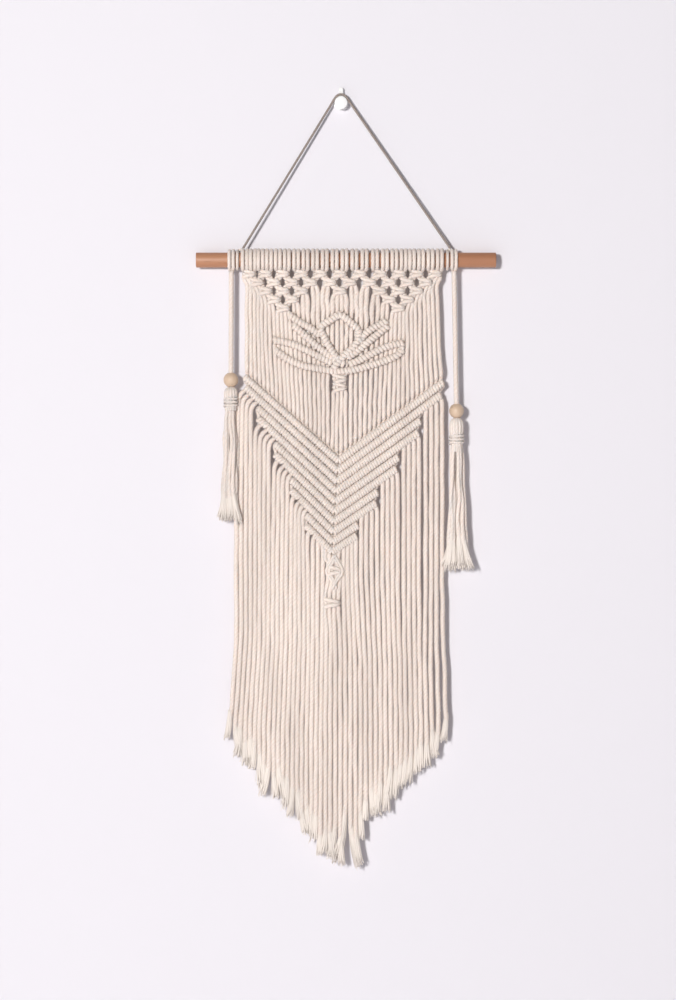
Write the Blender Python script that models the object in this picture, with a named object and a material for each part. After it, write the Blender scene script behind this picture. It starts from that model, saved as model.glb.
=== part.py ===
"""Macrame wall hanging on a wooden dowel, held by a plain wall hook.

Metres, +X to the viewer's right, +Y into the wall, +Z up. The origin is the middle of the hook's
back plate, on the wall. Everything hangs in front of the wall, at negative Y.

The panel is 22 cords folded over the dowel, so 44 strands, fused at 45 ridged knots and bars:
34 square knots in three hanging triangles, 5 bars of a water lily, 5 double bars of a chevron
and 1 small diamond. Below them the strands hang apart and end in a point.
"""

import math
import random

import bmesh
import bpy
import numpy as np
from mathutils import Vector

MM = 0.001

# Dowel, hook and hanging cord
DOWEL_LENGTH = 300 * MM
DOWEL_RADIUS = 7.5 * MM
DOWEL_SHIFT = 5 * MM  # its middle lies this far right of the hook
DOWEL_DROP = 159 * MM  # its axis below the hook
DOWEL_OUT = 12.8 * MM  # its axis from the wall
DOWEL_CHAMFER = 0.6 * MM
CLEARANCE = 0.3 * MM
HOOK_PLATE_RADIUS = 8 * MM
HOOK_PLATE_THICK = 2 * MM
HOOK_STEM_WIDTH = 4.6 * MM
HOOK_STEM_RISE = 15 * MM
HOOK_STEM_OUT = 5 * MM
HOOK_PEG_RADIUS = 4.6 * MM
HOOK_PEG_RISE = 1 * MM
HOOK_BUTTON_RADIUS = 7 * MM
HOOK_BUTTON_DROP = 2 * MM
HOOK_BUTTON_NEAR = 10 * MM  # the button's back face from the wall
HOOK_BUTTON_THICK = 2.6 * MM
HOOK_BUTTON_ROUNDING = 0.8 * MM
HANGER_DIAMETER = 3.2 * MM
HANGER_OUT = 7.5 * MM  # the cord from the wall where it crosses the peg
HANGER_FEET = (  # each lies on the turns under it; rise is over the dowel's axis
    {"shift": -98.5 * MM, "rise": 10.95 * MM},
    {"shift": 109.5 * MM, "rise": 11.4 * MM},
)
TIE_WIDTH = 3.4 * MM
TIE_THICK = 3.2 * MM
TIE_SHIFTS = (-103.5 * MM, 106.4 * MM)

# Strands and the heading of lark's head knots
STRAND_WIDTH = 4.1 * MM
STRAND_FRONT = 1.9 * MM
STRAND_BACK = 1.4 * MM
STRAND_ROOT = 0.84  # share of its width where it leaves a bar, and at its end
STRAND_BEND = 0.9
STRANDS_A_KNOT = 4
HEADING_SIDES = 8
HEADING_CREST = 4.0 * MM  # over the dowel
HEADING_DIP = 2.8 * MM  # between the two turns of one knot
HEADING_GAP = 1.7 * MM  # between two knots
HEADING_REACH = 4.0 * MM  # past the outermost strands

# Three triangles of square knots. The top row's knots, left to right, from the hook's middle.
KNOT_SHIFTS = [
    shift * MM
    for shift in (-93, -76, -58.5, -40, -21, -1.4, 18.5, 39, 58, 75.5, 94)
]
NET_DROP = 13 * MM  # the top row's middle below the dowel's axis
ROW_PITCH = 8.6 * MM
KNOT_SPREAD = 10.6 * MM  # to a neighbour that is missing at a triangle's edge
LINK_HALF_WIDTH = 2.9 * MM
LINK_HALF_HEIGHT = 1.1 * MM
KNOT_NOTCH = 1.9 * MM
KNOT_FRONT = 2.1 * MM
KNOT_BACK = 2.4 * MM
KNOT_CROWN = 1.5 * MM
KNOT_RIM = 1.7 * MM
TRIANGLES = (  # first and last knot of the top row
    {"first": 0, "last": 4},
    {"first": 4, "last": 6},
    {"first": 6, "last": 10},
)

# Chevron: ten bars in five stepped pairs, from a tip that drifts left as it goes down
CHEVRON_TIP = Vector((-2.0 * MM, 0, -355 * MM))
CHEVRON_STEP = Vector((-0.73 * MM, 0, -10.1 * MM))
CHEVRON_BARS = 10
BARS_A_STEP = 2
STRANDS_A_SIDE = 22
STRANDS_A_STEP = 4
CHEVRON_FRONT = 3.8 * MM
CHEVRON_SEAM = 1.6 * MM
CHEVRON_BACK = 3.0 * MM
ARMS = (  # slope and strand pitch at the top edge, and what each bar below adds
    {"side": -1, "slope": 0.91, "slope_step": 0.013, "pitch": 4.2 * MM, "pitch_step": -0.065 * MM},
    {"side": 1, "slope": 0.755, "slope_step": -0.011, "pitch": 4.8 * MM, "pitch_step": -0.075 * MM},
)

# Bars of knots round a core: their section, and the ridges along their crests
BAR_HALF_WIDTH = 2.9 * MM
BAR_FRONT = 2.1 * MM
BAR_BACK = 1.8 * MM
BAR_CREST = 3.9 * MM
BAR_RIDGE = 0.7 * MM
BAR_RING_STEP = 7 * MM

# Water lily: each bar runs from the left over the middle to the right. Points of its right half,
# outwards and upwards from the flower's foot.
LILY_FOOT = Vector((-1 * MM, 0, -272 * MM))
LILY_BARS = {
    "boat": ((0, 0), (23, 3.5), (41, 7), (54.5, 13), (64.5, 25)),
    "outer_petals": ((0, 6), (7, 8), (22, 13.5), (35, 22), (48, 28.5), (64, 32)),
    "inner_petals": ((0, 11.5), (8, 14), (25, 24), (46, 45)),
    "cup": ((0, 17.5), (7, 22), (21, 38), (33, 46), (48, 52.5)),
    "bud_top": ((0, 59), (10, 52), (20.5, 44), (15, 31)),
}

# Small diamond under the chevron
DIAMOND_MIDDLE = Vector((-6.5 * MM, 0, -469.5 * MM))
DIAMOND_HALF_WIDTH = 8.5 * MM
DIAMOND_HALF_HEIGHT = 15 * MM

# Fringe: how far from the hook's middle a strand hangs, by its place counted out from the tip,
# and how far down it ends, by where it hangs
FRINGE_PLACES = {
    "out": (0, 18, 20, 22),
    -1: [x * MM for x in (8, 88, 97.5, 107)],
    1: [x * MM for x in (-8, 81, 92, 106.5)],
}
FRINGE_SETTLED = -540 * MM  # the strands hang in their places from here down
FRINGE_FLARE = {-1: 1.06, 1: 1.02}
FRINGE_ENDS = {
    "across": [x * MM for x in (-105, -14, 4, 12, 22, 105)],
    "down": [z * MM for z in (642, 757, 765, 765, 728, 642)],
}
FRINGE_UNEVEN = 4 * MM
BEND_DROP = 16 * MM
BEND_SHARE = 0.35  # of the way to its place
SEED = 7

# Side cords, beads and tassels, which hang a little in front of the dowel's axis
SIDE_FORWARD = 4 * MM
LOOP_TURNS = 2
LOOP_PITCH = 3.9 * MM
LOOP_THICK = 3.8 * MM
LOOP_SIDES = 12
SIDE_CORD_DIAMETER = 5 * MM
SIDE_CORD_POINT_STEP = 12 * MM
BEAD_RADIUS = 7.4 * MM
BEAD_HEIGHT = 13.6 * MM
BEAD_BORE = 3.1 * MM
TASSEL_STRANDS = 14
TASSEL_STRAND_WIDTH = 3.2 * MM
TASSEL_FORWARD = 5 * MM  # the strands' ends, in front of the head
TASSEL_FLATNESS = 0.25
SIDES = (
    {
        "name": "left",
        "loop": -109.6 * MM,
        "bead": Vector((-110 * MM, 0, -279 * MM)),
        "head": 24 * MM,
        "head_radius": 6.2 * MM,
        "length": 136 * MM,
        "spread": 12.4 * MM,
        "lean": -2 * MM,
    },
    {
        "name": "right",
        "loop": 112.9 * MM,
        "bead": Vector((115.5 * MM, 0, -310 * MM)),
        "head": 34 * MM,
        "head_radius": 6.6 * MM,
        "length": 153 * MM,
        "spread": 17 * MM,
        "lean": 4.5 * MM,
    },
)

TASSEL_HEAD = (  # its radius down the head, as shares of the head's height and radius
    {"down": 0.0, "wide": 0.5},
    {"down": 0.12, "wide": 0.85},
    {"down": 0.45, "wide": 0.9},
    {"down": 0.55, "wide": 0.8},
    {"down": 0.62, "wide": 1.0},
    {"down": 0.72, "wide": 0.86},
    {"down": 0.8, "wide": 1.0},
    {"down": 0.9, "wide": 0.86},
    {"down": 1.0, "wide": 0.9},
)

# Sides of the round pieces, and the finishes
DOWEL_SIDES = 28
HOOK_SIDES = 24
TIE_SIDES = 16
BEAD_SIDES = 16
BEAD_RINGS = 7
TASSEL_SIDES = 12
COTTON = {"colour": (0.82, 0.74, 0.65), "roughness": 0.95}
STAINED_WOOD = {"colour": (0.53, 0.26, 0.13), "roughness": 0.55}
PALE_WOOD = {"colour": (0.76, 0.53, 0.33), "roughness": 0.5}
WHITE_PLASTIC = {"colour": (0.88, 0.88, 0.87), "roughness": 0.35}

MIDDLE_Y = -DOWEL_OUT
AXIS_Z = -DOWEL_DROP
STRAND_COUNT = 2 * STRANDS_A_SIDE


def clear_scene():
    for obj in list(bpy.data.objects):
        bpy.data.objects.remove(obj)


def coat(obj, finish):
    """Gives the object a material of its own with the finish."""
    made = bpy.data.materials.new(obj.name)
    made.use_nodes = True
    shader = made.node_tree.nodes["Principled BSDF"]
    shader.inputs["Base Color"].default_value = (*finish["colour"], 1)
    shader.inputs["Roughness"].default_value = finish["roughness"]
    shader.inputs["Metallic"].default_value = 0
    obj.data.materials.append(made)


def show(name, data):
    obj = bpy.data.objects.new(name, data)
    bpy.context.scene.collection.objects.link(obj)
    return obj


def mesh_object(name, shape):
    mesh = bpy.data.meshes.new(name)
    shape.to_mesh(mesh)
    shape.free()
    return show(name, mesh)


def smooth(obj):
    obj.data.shade_smooth()
    obj.data.set_sharp_from_angle(angle=math.radians(50))


def loft(name, rings, closed=False):
    """A closed solid through rings of equal length: capped at both ends, or joined end to end."""
    shape = bmesh.new()
    made = [[shape.verts.new(point) for point in ring] for ring in rings]
    sides = len(rings[0])
    for here, there in zip(made, made[1:] + made[:1] if closed else made[1:]):
        for k in range(sides):
            after = (k + 1) % sides
            shape.faces.new((here[k], here[after], there[after], there[k]))
    if not closed:
        shape.faces.new(made[0])
        shape.faces.new(made[-1])
    bmesh.ops.recalc_face_normals(shape, faces=shape.faces)
    return mesh_object(name, shape)


def join_all(base, others):
    """One solid from the base and everything it is fused to."""
    parts = bpy.data.collections.new(base.name + "_parts")
    bpy.context.scene.collection.children.link(parts)
    for other in others:
        bpy.context.scene.collection.objects.unlink(other)
        parts.objects.link(other)
        other.hide_render = True
        other.display_type = "WIRE"
    union = base.modifiers.new("Fuse", "BOOLEAN")
    union.operation = "UNION"
    union.operand_type = "COLLECTION"
    union.collection = parts
    union.solver = "EXACT"


def circle(centre, radius, sides, across, up, turn=0.0):
    """Points of a ring about centre, in the plane of the two directions."""
    angles = [turn + 2 * math.pi * k / sides for k in range(sides)]
    return [centre + across * radius * math.cos(a) + up * radius * math.sin(a) for a in angles]


ACROSS, INTO_WALL, UP = Vector((1, 0, 0)), Vector((0, 1, 0)), Vector((0, 0, 1))


def turned(name, profile, sides, axis, start):
    """A solid turned about an axis: the profile is (distance along it, radius) from end to end."""
    across = UP if axis.x else ACROSS
    up = axis.cross(across)
    rings = [circle(start + axis * along, radius, sides, across, up) for along, radius in profile]
    return loft(name, rings)


def dowel():
    left = Vector((DOWEL_SHIFT - DOWEL_LENGTH / 2, MIDDLE_Y, AXIS_Z))
    rim = DOWEL_RADIUS - DOWEL_CHAMFER
    profile = (
        (0, rim),
        (DOWEL_CHAMFER, DOWEL_RADIUS),
        (DOWEL_LENGTH - DOWEL_CHAMFER, DOWEL_RADIUS),
        (DOWEL_LENGTH, rim),
    )
    obj = turned("dowel", profile, DOWEL_SIDES, ACROSS, left)
    coat(obj, STAINED_WOOD)
    smooth(obj)


def wall_hook():
    plate_profile = ((0, HOOK_PLATE_RADIUS), (HOOK_PLATE_THICK, HOOK_PLATE_RADIUS))
    peg_length = HOOK_BUTTON_NEAR + HOOK_BUTTON_ROUNDING
    peg_profile = ((HOOK_PLATE_THICK / 2, HOOK_PEG_RADIUS), (peg_length, HOOK_PEG_RADIUS))
    rim = HOOK_BUTTON_RADIUS - HOOK_BUTTON_ROUNDING
    button_profile = (
        (0, rim),
        (HOOK_BUTTON_ROUNDING, HOOK_BUTTON_RADIUS),
        (HOOK_BUTTON_THICK - HOOK_BUTTON_ROUNDING, HOOK_BUTTON_RADIUS),
        (HOOK_BUTTON_THICK, rim),
    )
    out = -INTO_WALL
    button_place = Vector((0, -HOOK_BUTTON_NEAR, -HOOK_BUTTON_DROP))
    plate = turned("wall_hook", plate_profile, HOOK_SIDES, out, Vector((0, 0, 0)))
    peg = turned("hook_peg", peg_profile, HOOK_SIDES, out, Vector((0, 0, HOOK_PEG_RISE)))
    button = turned("hook_button", button_profile, HOOK_SIDES, out, button_place)
    half = HOOK_STEM_WIDTH / 2
    near, far = -HOOK_PLATE_THICK / 2, -HOOK_STEM_OUT
    outline = [(-half, 0), (half, 0)]
    outline += [
        (half * math.cos(a), HOOK_STEM_RISE - half + half * math.sin(a))
        for a in (math.radians(degrees) for degrees in range(0, 181, 22))
    ]
    stem = loft("hook_stem", [[Vector((x, y, z)) for x, z in outline] for y in (near, far)])
    for piece in (plate, peg, button, stem):
        smooth(piece)
    join_all(plate, [peg, button, stem])
    coat(plate, WHITE_PLASTIC)


def tube(name, route, diameter):
    curve = bpy.data.curves.new(name, "CURVE")
    curve.dimensions = "3D"
    curve.bevel_depth = diameter / 2
    curve.bevel_resolution = 2
    curve.use_fill_caps = True
    spline = curve.splines.new("POLY")
    spline.points.add(len(route) - 1)
    for point, place in zip(spline.points, route):
        point.co = (*place, 1)
    coat(show(name, curve), COTTON)


def hanger_cord():
    """The hanging cord from its left foot, over the hook's peg, to its right foot."""
    bend = HOOK_PEG_RADIUS + CLEARANCE + HANGER_DIAMETER / 2
    left, right = [
        Vector((foot["shift"], MIDDLE_Y, AXIS_Z + foot["rise"])) for foot in HANGER_FEET
    ]
    peg = Vector((0, -HANGER_OUT, HOOK_PEG_RISE))
    over = []
    for degrees in (150, 135, 120, 105, 90, 75, 60, 45, 30):
        a = math.radians(degrees)
        over.append(peg + ACROSS * bend * math.cos(a) + UP * bend * math.sin(a))
    steps = 18
    climb = [left.lerp(over[0], i / steps) for i in range(steps)]
    descent = [over[-1].lerp(right, (i + 1) / steps) for i in range(steps)]
    tube("hanger_cord", climb + over + descent, HANGER_DIAMETER)


def ridged_sleeve(name, stations, sides, ends):
    """A sleeve round the dowel, with a bore: stations are (x, thickness over the dowel)."""
    bore = (DOWEL_RADIUS + CLEARANCE) / math.cos(math.pi / sides)
    axis = Vector((0, MIDDLE_Y, AXIS_Z))
    turn = math.pi / sides
    outside = [
        circle(axis + ACROSS * x, DOWEL_RADIUS + thick, sides, INTO_WALL, UP, turn)
        for x, thick in stations
    ]
    inside = [circle(axis + ACROSS * x, bore, sides, INTO_WALL, UP, turn) for x in reversed(ends)]
    return loft(name, outside + inside, closed=True)


def hanger_tie(name, middle):
    half = TIE_WIDTH / 2
    low = TIE_THICK / 2
    stations = [(middle - half, low), (middle, TIE_THICK), (middle + half, low)]
    obj = ridged_sleeve(name, stations, TIE_SIDES, (middle - half, middle + half))
    coat(obj, COTTON)
    smooth(obj)


def strand_shift(i):
    """Where strand i leaves the heading."""
    knot, member = divmod(i, STRANDS_A_KNOT)
    before, after = max(knot - 1, 0), min(knot + 1, len(KNOT_SHIFTS) - 1)
    pitch = (KNOT_SHIFTS[after] - KNOT_SHIFTS[before]) / (after - before) / STRANDS_A_KNOT
    return KNOT_SHIFTS[knot] + (member - (STRANDS_A_KNOT - 1) / 2) * pitch


def heading():
    """22 lark's head knots, two turns each, as one ridged sleeve round the dowel."""
    shifts = [strand_shift(i) for i in range(STRAND_COUNT)]
    left, right = shifts[0] - HEADING_REACH / 2, shifts[-1] + HEADING_REACH / 2
    stations = [(left, HEADING_GAP)]
    for i, shift in enumerate(shifts):
        stations.append((shift, HEADING_CREST))
        if i + 1 < len(shifts):
            dip = HEADING_DIP if i % 2 == 0 else HEADING_GAP
            stations.append(((shift + shifts[i + 1]) / 2, dip))
    stations.append((right, HEADING_GAP))
    return ridged_sleeve("macrame_panel", stations, HEADING_SIDES, (left, right))


def net_rows():
    """The square knots' middles: {(row, place in the row): (x, z)}, with places in half pitches."""
    knots = {}
    top = AXIS_Z - NET_DROP
    for triangle in TRIANGLES:
        shifts = {2 * k: KNOT_SHIFTS[k] for k in range(triangle["first"], triangle["last"] + 1)}
        row = 0
        while shifts:
            for place, shift in shifts.items():
                knots[row, place] = (shift, top - row * ROW_PITCH)
            shifts = {
                place + 1: (shift + shifts[place + 2]) / 2
                for place, shift in shifts.items()
                if place + 2 in shifts
            }
            row += 1
    return knots


def knot_outline(knots, row, place):
    """The corners of one square knot, in order. Linked knots share the two corners of a link."""
    x, z = knots[row, place]
    corners = []
    for right, up in ((1, 1), (1, -1), (-1, -1), (-1, 1)):
        other = knots.get((row - up, place + right))
        away = (other[0] - x, other[1] - z) if other else (right * KNOT_SPREAD, up * ROW_PITCH)
        middle = (x + away[0] / 2, z + away[1] / 2)
        tall = (middle[0] - right * LINK_HALF_WIDTH, middle[1] + up * LINK_HALF_HEIGHT)
        wide = (middle[0] + right * LINK_HALF_WIDTH, middle[1] - up * LINK_HALF_HEIGHT)
        if right * up > 0:
            corners += [tall, wide]
        else:
            corners += [wide, tall]
        if right == up and (row, place + 2 * right) in knots:
            corners.append((wide[0] - right * KNOT_NOTCH, z))
    return corners


def net():
    """All the square knots as one plate with raised knots and open diamonds between them."""
    knots = net_rows()
    shape = bmesh.new()
    made = {}
    for row, place in knots:
        corners = []
        for x, z in knot_outline(knots, row, place):
            key = (round(x / MM, 2), round(z / MM, 2))
            if key not in made:
                made[key] = shape.verts.new((x, MIDDLE_Y + KNOT_BACK, z))
            corners.append(made[key])
        shape.faces.new(corners)
    grown = bmesh.ops.extrude_face_region(shape, geom=shape.faces[:], use_keep_orig=True)
    moved = [part for part in grown["geom"] if isinstance(part, bmesh.types.BMVert)]
    fronts = [part for part in grown["geom"] if isinstance(part, bmesh.types.BMFace)]
    bmesh.ops.translate(shape, verts=moved, vec=(0, -KNOT_FRONT - KNOT_BACK, 0))
    bmesh.ops.recalc_face_normals(shape, faces=shape.faces)
    bmesh.ops.inset_individual(shape, faces=fronts, thickness=KNOT_RIM, depth=KNOT_CROWN)
    return mesh_object("net", shape)


def chevron_point(arm, line, strand):
    """A point of the chevron: line counts bars down from its top edge, strand counts outwards."""
    tip = CHEVRON_TIP + CHEVRON_STEP * line
    out = (arm["pitch"] + arm["pitch_step"] * line) * strand
    slope = arm["slope"] + arm["slope_step"] * line
    return tip + Vector((arm["side"] * out, MIDDLE_Y, slope * out))


def chevron():
    """Ten bars side by side, crests and seams raised in their front face, with stepped ends."""
    shape = bmesh.new()
    made = {}

    def corner(arm, half_line, out):
        key = (0 if out == 0 else arm["side"], half_line, out)
        if key not in made:
            place = chevron_point(arm, half_line / 2, out)
            raised = CHEVRON_FRONT if half_line % 2 else CHEVRON_FRONT - CHEVRON_SEAM
            front = shape.verts.new(place - INTO_WALL * raised)
            back = shape.verts.new(place + INTO_WALL * CHEVRON_BACK)
            made[key] = (front, back)
        return made[key]

    rims = []
    steps = CHEVRON_BARS // BARS_A_STEP
    ends = [0] + [STRANDS_A_SIDE - STRANDS_A_STEP * k for k in reversed(range(steps))]
    for arm in ARMS:
        for half_line in range(2 * CHEVRON_BARS):
            width = STRANDS_A_SIDE - STRANDS_A_STEP * (half_line // (2 * BARS_A_STEP))
            for near, far in zip(ends, ends[1:]):
                if far > width:
                    continue
                square = [
                    corner(arm, half_line, near),
                    corner(arm, half_line, far),
                    corner(arm, half_line + 1, far),
                    corner(arm, half_line + 1, near),
                ]
                shape.faces.new([front for front, _ in square])
                shape.faces.new([back for _, back in reversed(square)])
                rims += [(square[k], square[(k + 1) % 4]) for k in range(4)]
    for (front, back), (next_front, next_back) in rims:
        edge = shape.edges.get((front, next_front))
        if len(edge.link_faces) == 1:
            shape.faces.new([front, back, next_back, next_front])
    bmesh.ops.recalc_face_normals(shape, faces=shape.faces)
    return mesh_object("chevron", shape)


def strand(name, places, widths):
    """A three-sided strand with a ridge to the front, through places from the top down."""
    rings = []
    for place, share in zip(places, widths):
        half = STRAND_WIDTH / 2 * share
        back = place + INTO_WALL * STRAND_BACK * share
        rings.append([back - ACROSS * half, back + ACROSS * half, place - INTO_WALL * STRAND_FRONT])
    return loft(name, rings)


def strand_top(i):
    """Where strand i comes out of the square knots: the middle of the lowest one that it is in."""
    pair = i // 2
    rows = []
    for triangle in TRIANGLES:
        rows.append(min(pair - 2 * triangle["first"], 2 * triangle["last"] + 1 - pair))
    return AXIS_Z - NET_DROP - max(rows) * ROW_PITCH


def arm_of(i):
    """The arm that strand i crosses, and its place counted outwards from the tip."""
    if i < STRANDS_A_SIDE:
        return ARMS[0], STRANDS_A_SIDE - i - 0.5
    return ARMS[1], i - STRANDS_A_SIDE + 0.5


def upper_strand(i):
    arm, out = arm_of(i)
    top = Vector((strand_shift(i), MIDDLE_Y, strand_top(i)))
    return strand(f"upper_{i}", [top, chevron_point(arm, 0.5, out)], (1, STRAND_ROOT))


def lower_strand(i, chance):
    """Strand i below the chevron: out of its step, round a bend and down to its end."""
    arm, out = arm_of(i)
    step = int((STRANDS_A_SIDE - out) // STRANDS_A_STEP)
    top = chevron_point(arm, min(BARS_A_STEP * (step + 1), CHEVRON_BARS) - 0.6, out)
    side = arm["side"]
    hang = side * np.interp(out, FRINGE_PLACES["out"], FRINGE_PLACES[side])
    down = np.interp(hang, FRINGE_ENDS["across"], FRINGE_ENDS["down"])
    down += chance.uniform(-FRINGE_UNEVEN, FRINGE_UNEVEN)
    bend_x = top.x + (hang - top.x) * BEND_SHARE
    places = [
        top,
        Vector((bend_x, MIDDLE_Y, top.z - BEND_DROP)),
        Vector((hang, MIDDLE_Y, FRINGE_SETTLED)),
        Vector((hang * FRINGE_FLARE[side], MIDDLE_Y, -down)),
    ]
    return strand(f"lower_{i}", places, (STRAND_ROOT, STRAND_BEND, 1, STRAND_ROOT))


def spread_along(places, step):
    """Places about step apart on the broken line through the given ones."""
    out = [places[0]]
    for here, there in zip(places, places[1:]):
        count = max(1, round((there - here).length / step))
        out += [here.lerp(there, (k + 1) / count) for k in range(count)]
    return out


def bar(name, places, closed=False):
    """A cord wrapped all along, in the plane of the panel: upright sides and a ridged crest."""
    count = len(places)
    rings = []
    for i, place in enumerate(places):
        before = places[i - 1] if closed or i else place
        after = places[(i + 1) % count] if closed or i + 1 < count else place
        side = (after - before).normalized().cross(INTO_WALL) * BAR_HALF_WIDTH
        front, back = -INTO_WALL * BAR_FRONT, INTO_WALL * BAR_BACK
        crest = -INTO_WALL * (BAR_CREST if i % 2 else BAR_CREST - BAR_RIDGE)
        section = (side + front, side + back, -side + back, -side + front, crest)
        rings.append([place + corner for corner in section])
    return loft(name, rings, closed)


def lily():
    made = []
    for name, points in LILY_BARS.items():
        right = [LILY_FOOT + Vector((x * MM, MIDDLE_Y, z * MM)) for x, z in points]
        left = [LILY_FOOT + Vector((-x * MM, MIDDLE_Y, z * MM)) for x, z in points[:0:-1]]
        made.append(bar(name, spread_along(left + right, BAR_RING_STEP)))
    return made


def small_diamond():
    corners = (
        (0, DIAMOND_HALF_HEIGHT),
        (DIAMOND_HALF_WIDTH, 0),
        (0, -DIAMOND_HALF_HEIGHT),
        (-DIAMOND_HALF_WIDTH, 0),
        (0, DIAMOND_HALF_HEIGHT),
    )
    places = [DIAMOND_MIDDLE + Vector((x, MIDDLE_Y, z)) for x, z in corners]
    return bar("small_diamond", spread_along(places, BAR_RING_STEP)[:-1], closed=True)


def macrame_panel():
    chance = random.Random(SEED)
    parts = [net(), chevron(), small_diamond(), *lily()]
    parts += [upper_strand(i) for i in range(STRAND_COUNT)]
    parts += [lower_strand(i, chance) for i in range(STRAND_COUNT)]
    top = heading()
    smooth(top)
    join_all(top, parts)
    coat(top, COTTON)


def side_loop(side):
    """The lark's head knot that holds a side cord on the dowel."""
    half = LOOP_TURNS * LOOP_PITCH / 2
    left = side["loop"] - half
    stations = [(left, LOOP_THICK / 2)]
    for turn in range(LOOP_TURNS):
        stations.append((left + (turn + 0.5) * LOOP_PITCH, LOOP_THICK))
        stations.append((left + (turn + 1) * LOOP_PITCH, LOOP_THICK / 2))
    loops = ridged_sleeve("side_loop_" + side["name"], stations, LOOP_SIDES, (left, left + 2 * half))
    coat(loops, COTTON)
    smooth(loops)


def side_cord(side):
    """The cord from the knot down through the bead."""
    forward = MIDDLE_Y - SIDE_FORWARD
    drop = DOWEL_RADIUS + LOOP_THICK + CLEARANCE
    top = Vector((side["loop"], forward, AXIS_Z - drop))
    foot = side["bead"] + Vector((0, forward, -BEAD_HEIGHT / 2))
    count = round((foot - top).length / SIDE_CORD_POINT_STEP)
    route = [top.lerp(foot, i / count) for i in range(count + 1)]
    tube("side_cord_" + side["name"], route, SIDE_CORD_DIAMETER)


def bead(side):
    """A turned wooden bead with a bore for the cord."""
    half = BEAD_HEIGHT / 2
    bore_edge = math.asin(BEAD_BORE / BEAD_RADIUS)
    rings = []
    centre = side["bead"] + Vector((0, MIDDLE_Y - SIDE_FORWARD, 0))
    for k in range(BEAD_RINGS):
        a = (math.pi / 2 - bore_edge) * (1 - 2 * k / (BEAD_RINGS - 1))
        middle = centre + UP * half * math.sin(a) / math.cos(bore_edge)
        rings.append(circle(middle, BEAD_RADIUS * math.cos(a), BEAD_SIDES, ACROSS, INTO_WALL))
    obj = loft("bead_" + side["name"], rings, closed=True)
    coat(obj, PALE_WOOD)
    smooth(obj)


def tassel(side):
    """The knotted head, wound with ridges, and its strands, which hang apart below it."""
    chance = random.Random(SEED + len(side["name"]))
    head, radius = side["head"], side["head_radius"]
    place = Vector((0, MIDDLE_Y - SIDE_FORWARD, -BEAD_HEIGHT / 2 - CLEARANCE))
    top = side["bead"] + place
    profile = [(step["down"] * head, step["wide"] * radius) for step in TASSEL_HEAD]
    crown = turned("tassel_" + side["name"], profile, TASSEL_SIDES, -UP, top)
    smooth(crown)
    strands = []
    for k in range(TASSEL_STRANDS):
        inner = k % 3 == 0
        a = 2 * math.pi * k / TASSEL_STRANDS
        reach = radius * (0.25 if inner else 0.62)
        root = top + Vector((math.cos(a), math.sin(a), 0)) * reach - UP * (head - 3 * MM)
        flare = side["spread"] * (0.35 if inner else 0.9)
        across = flare * math.cos(a) + side["lean"]
        forward = TASSEL_FLATNESS * flare * math.sin(a) - TASSEL_FORWARD
        down = side["length"] - chance.uniform(0, 5 * MM)
        foot = top + Vector((across, forward, -down))
        waist = root.lerp(foot, 0.5)
        waist.x += (top.x - waist.x) * 0.25
        rings = []
        for middle, share in zip((root, waist, foot), (1, 1, 0.85)):
            rings.append(circle(middle, TASSEL_STRAND_WIDTH / 2 * share, 4, ACROSS, INTO_WALL))
        strands.append(loft(f"lock_{side['name']}_{k}", rings))
    join_all(crown, strands)
    coat(crown, COTTON)


def build():
    clear_scene()
    dowel()
    wall_hook()
    hanger_cord()
    hanger_tie("hanger_tie_left", TIE_SHIFTS[0])
    hanger_tie("hanger_tie_right", TIE_SHIFTS[1])
    macrame_panel()
    for side in SIDES:
        side_loop(side)
        side_cord(side)
        bead(side)
        tassel(side)


build()
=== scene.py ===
"""A macrame wall hanging: twisted cotton cords, their knots and frayed ends, a dowel and a hook.

+X is to the viewer's right, +Y goes into the wall and +Z is up, with the origin on the wall at the
middle of the hook's plate. Routes are worked out in millimetres, and meshes are made in metres.
"""

import math
import random

import bpy
import numpy as np
from bpy.props import FloatProperty, FloatVectorProperty, IntProperty, PointerProperty
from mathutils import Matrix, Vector


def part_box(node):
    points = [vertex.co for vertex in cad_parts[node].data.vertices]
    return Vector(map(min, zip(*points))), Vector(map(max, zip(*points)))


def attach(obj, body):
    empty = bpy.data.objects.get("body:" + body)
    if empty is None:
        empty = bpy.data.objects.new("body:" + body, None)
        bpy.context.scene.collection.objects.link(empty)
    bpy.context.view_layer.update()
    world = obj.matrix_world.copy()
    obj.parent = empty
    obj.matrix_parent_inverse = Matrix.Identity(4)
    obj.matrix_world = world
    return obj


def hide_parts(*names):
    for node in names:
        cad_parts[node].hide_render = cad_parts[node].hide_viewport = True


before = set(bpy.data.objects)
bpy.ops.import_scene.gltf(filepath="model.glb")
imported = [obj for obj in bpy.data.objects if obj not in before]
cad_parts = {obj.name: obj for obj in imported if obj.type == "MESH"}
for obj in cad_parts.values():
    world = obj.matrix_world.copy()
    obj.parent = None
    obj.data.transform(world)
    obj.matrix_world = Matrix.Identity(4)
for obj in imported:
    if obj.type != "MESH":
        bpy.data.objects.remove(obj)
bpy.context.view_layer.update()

bl_info = {
    "name": "Macrame wall hanging",
    "version": (1, 0, 0),
    "blender": (4, 5, 0),
    "location": "View3D > Sidebar > Wall hanging",
    "description": "Twisted cotton cords, knots, frayed ends, beads, dowel and hook",
    "category": "Add Mesh",
}

MM = 0.001
TAU = 2 * math.pi

# The dowel, and the middle of all that hangs from it
DOWEL_LOW, DOWEL_HIGH = (np.array(corner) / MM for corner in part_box("dowel"))
MIDDLE_Y, AXIS_Z = np.round((DOWEL_LOW + DOWEL_HIGH)[1:] / 2, 2)
DOWEL_RADIUS = 7.5
DOWEL_ROUNDING = 0.7

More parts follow.
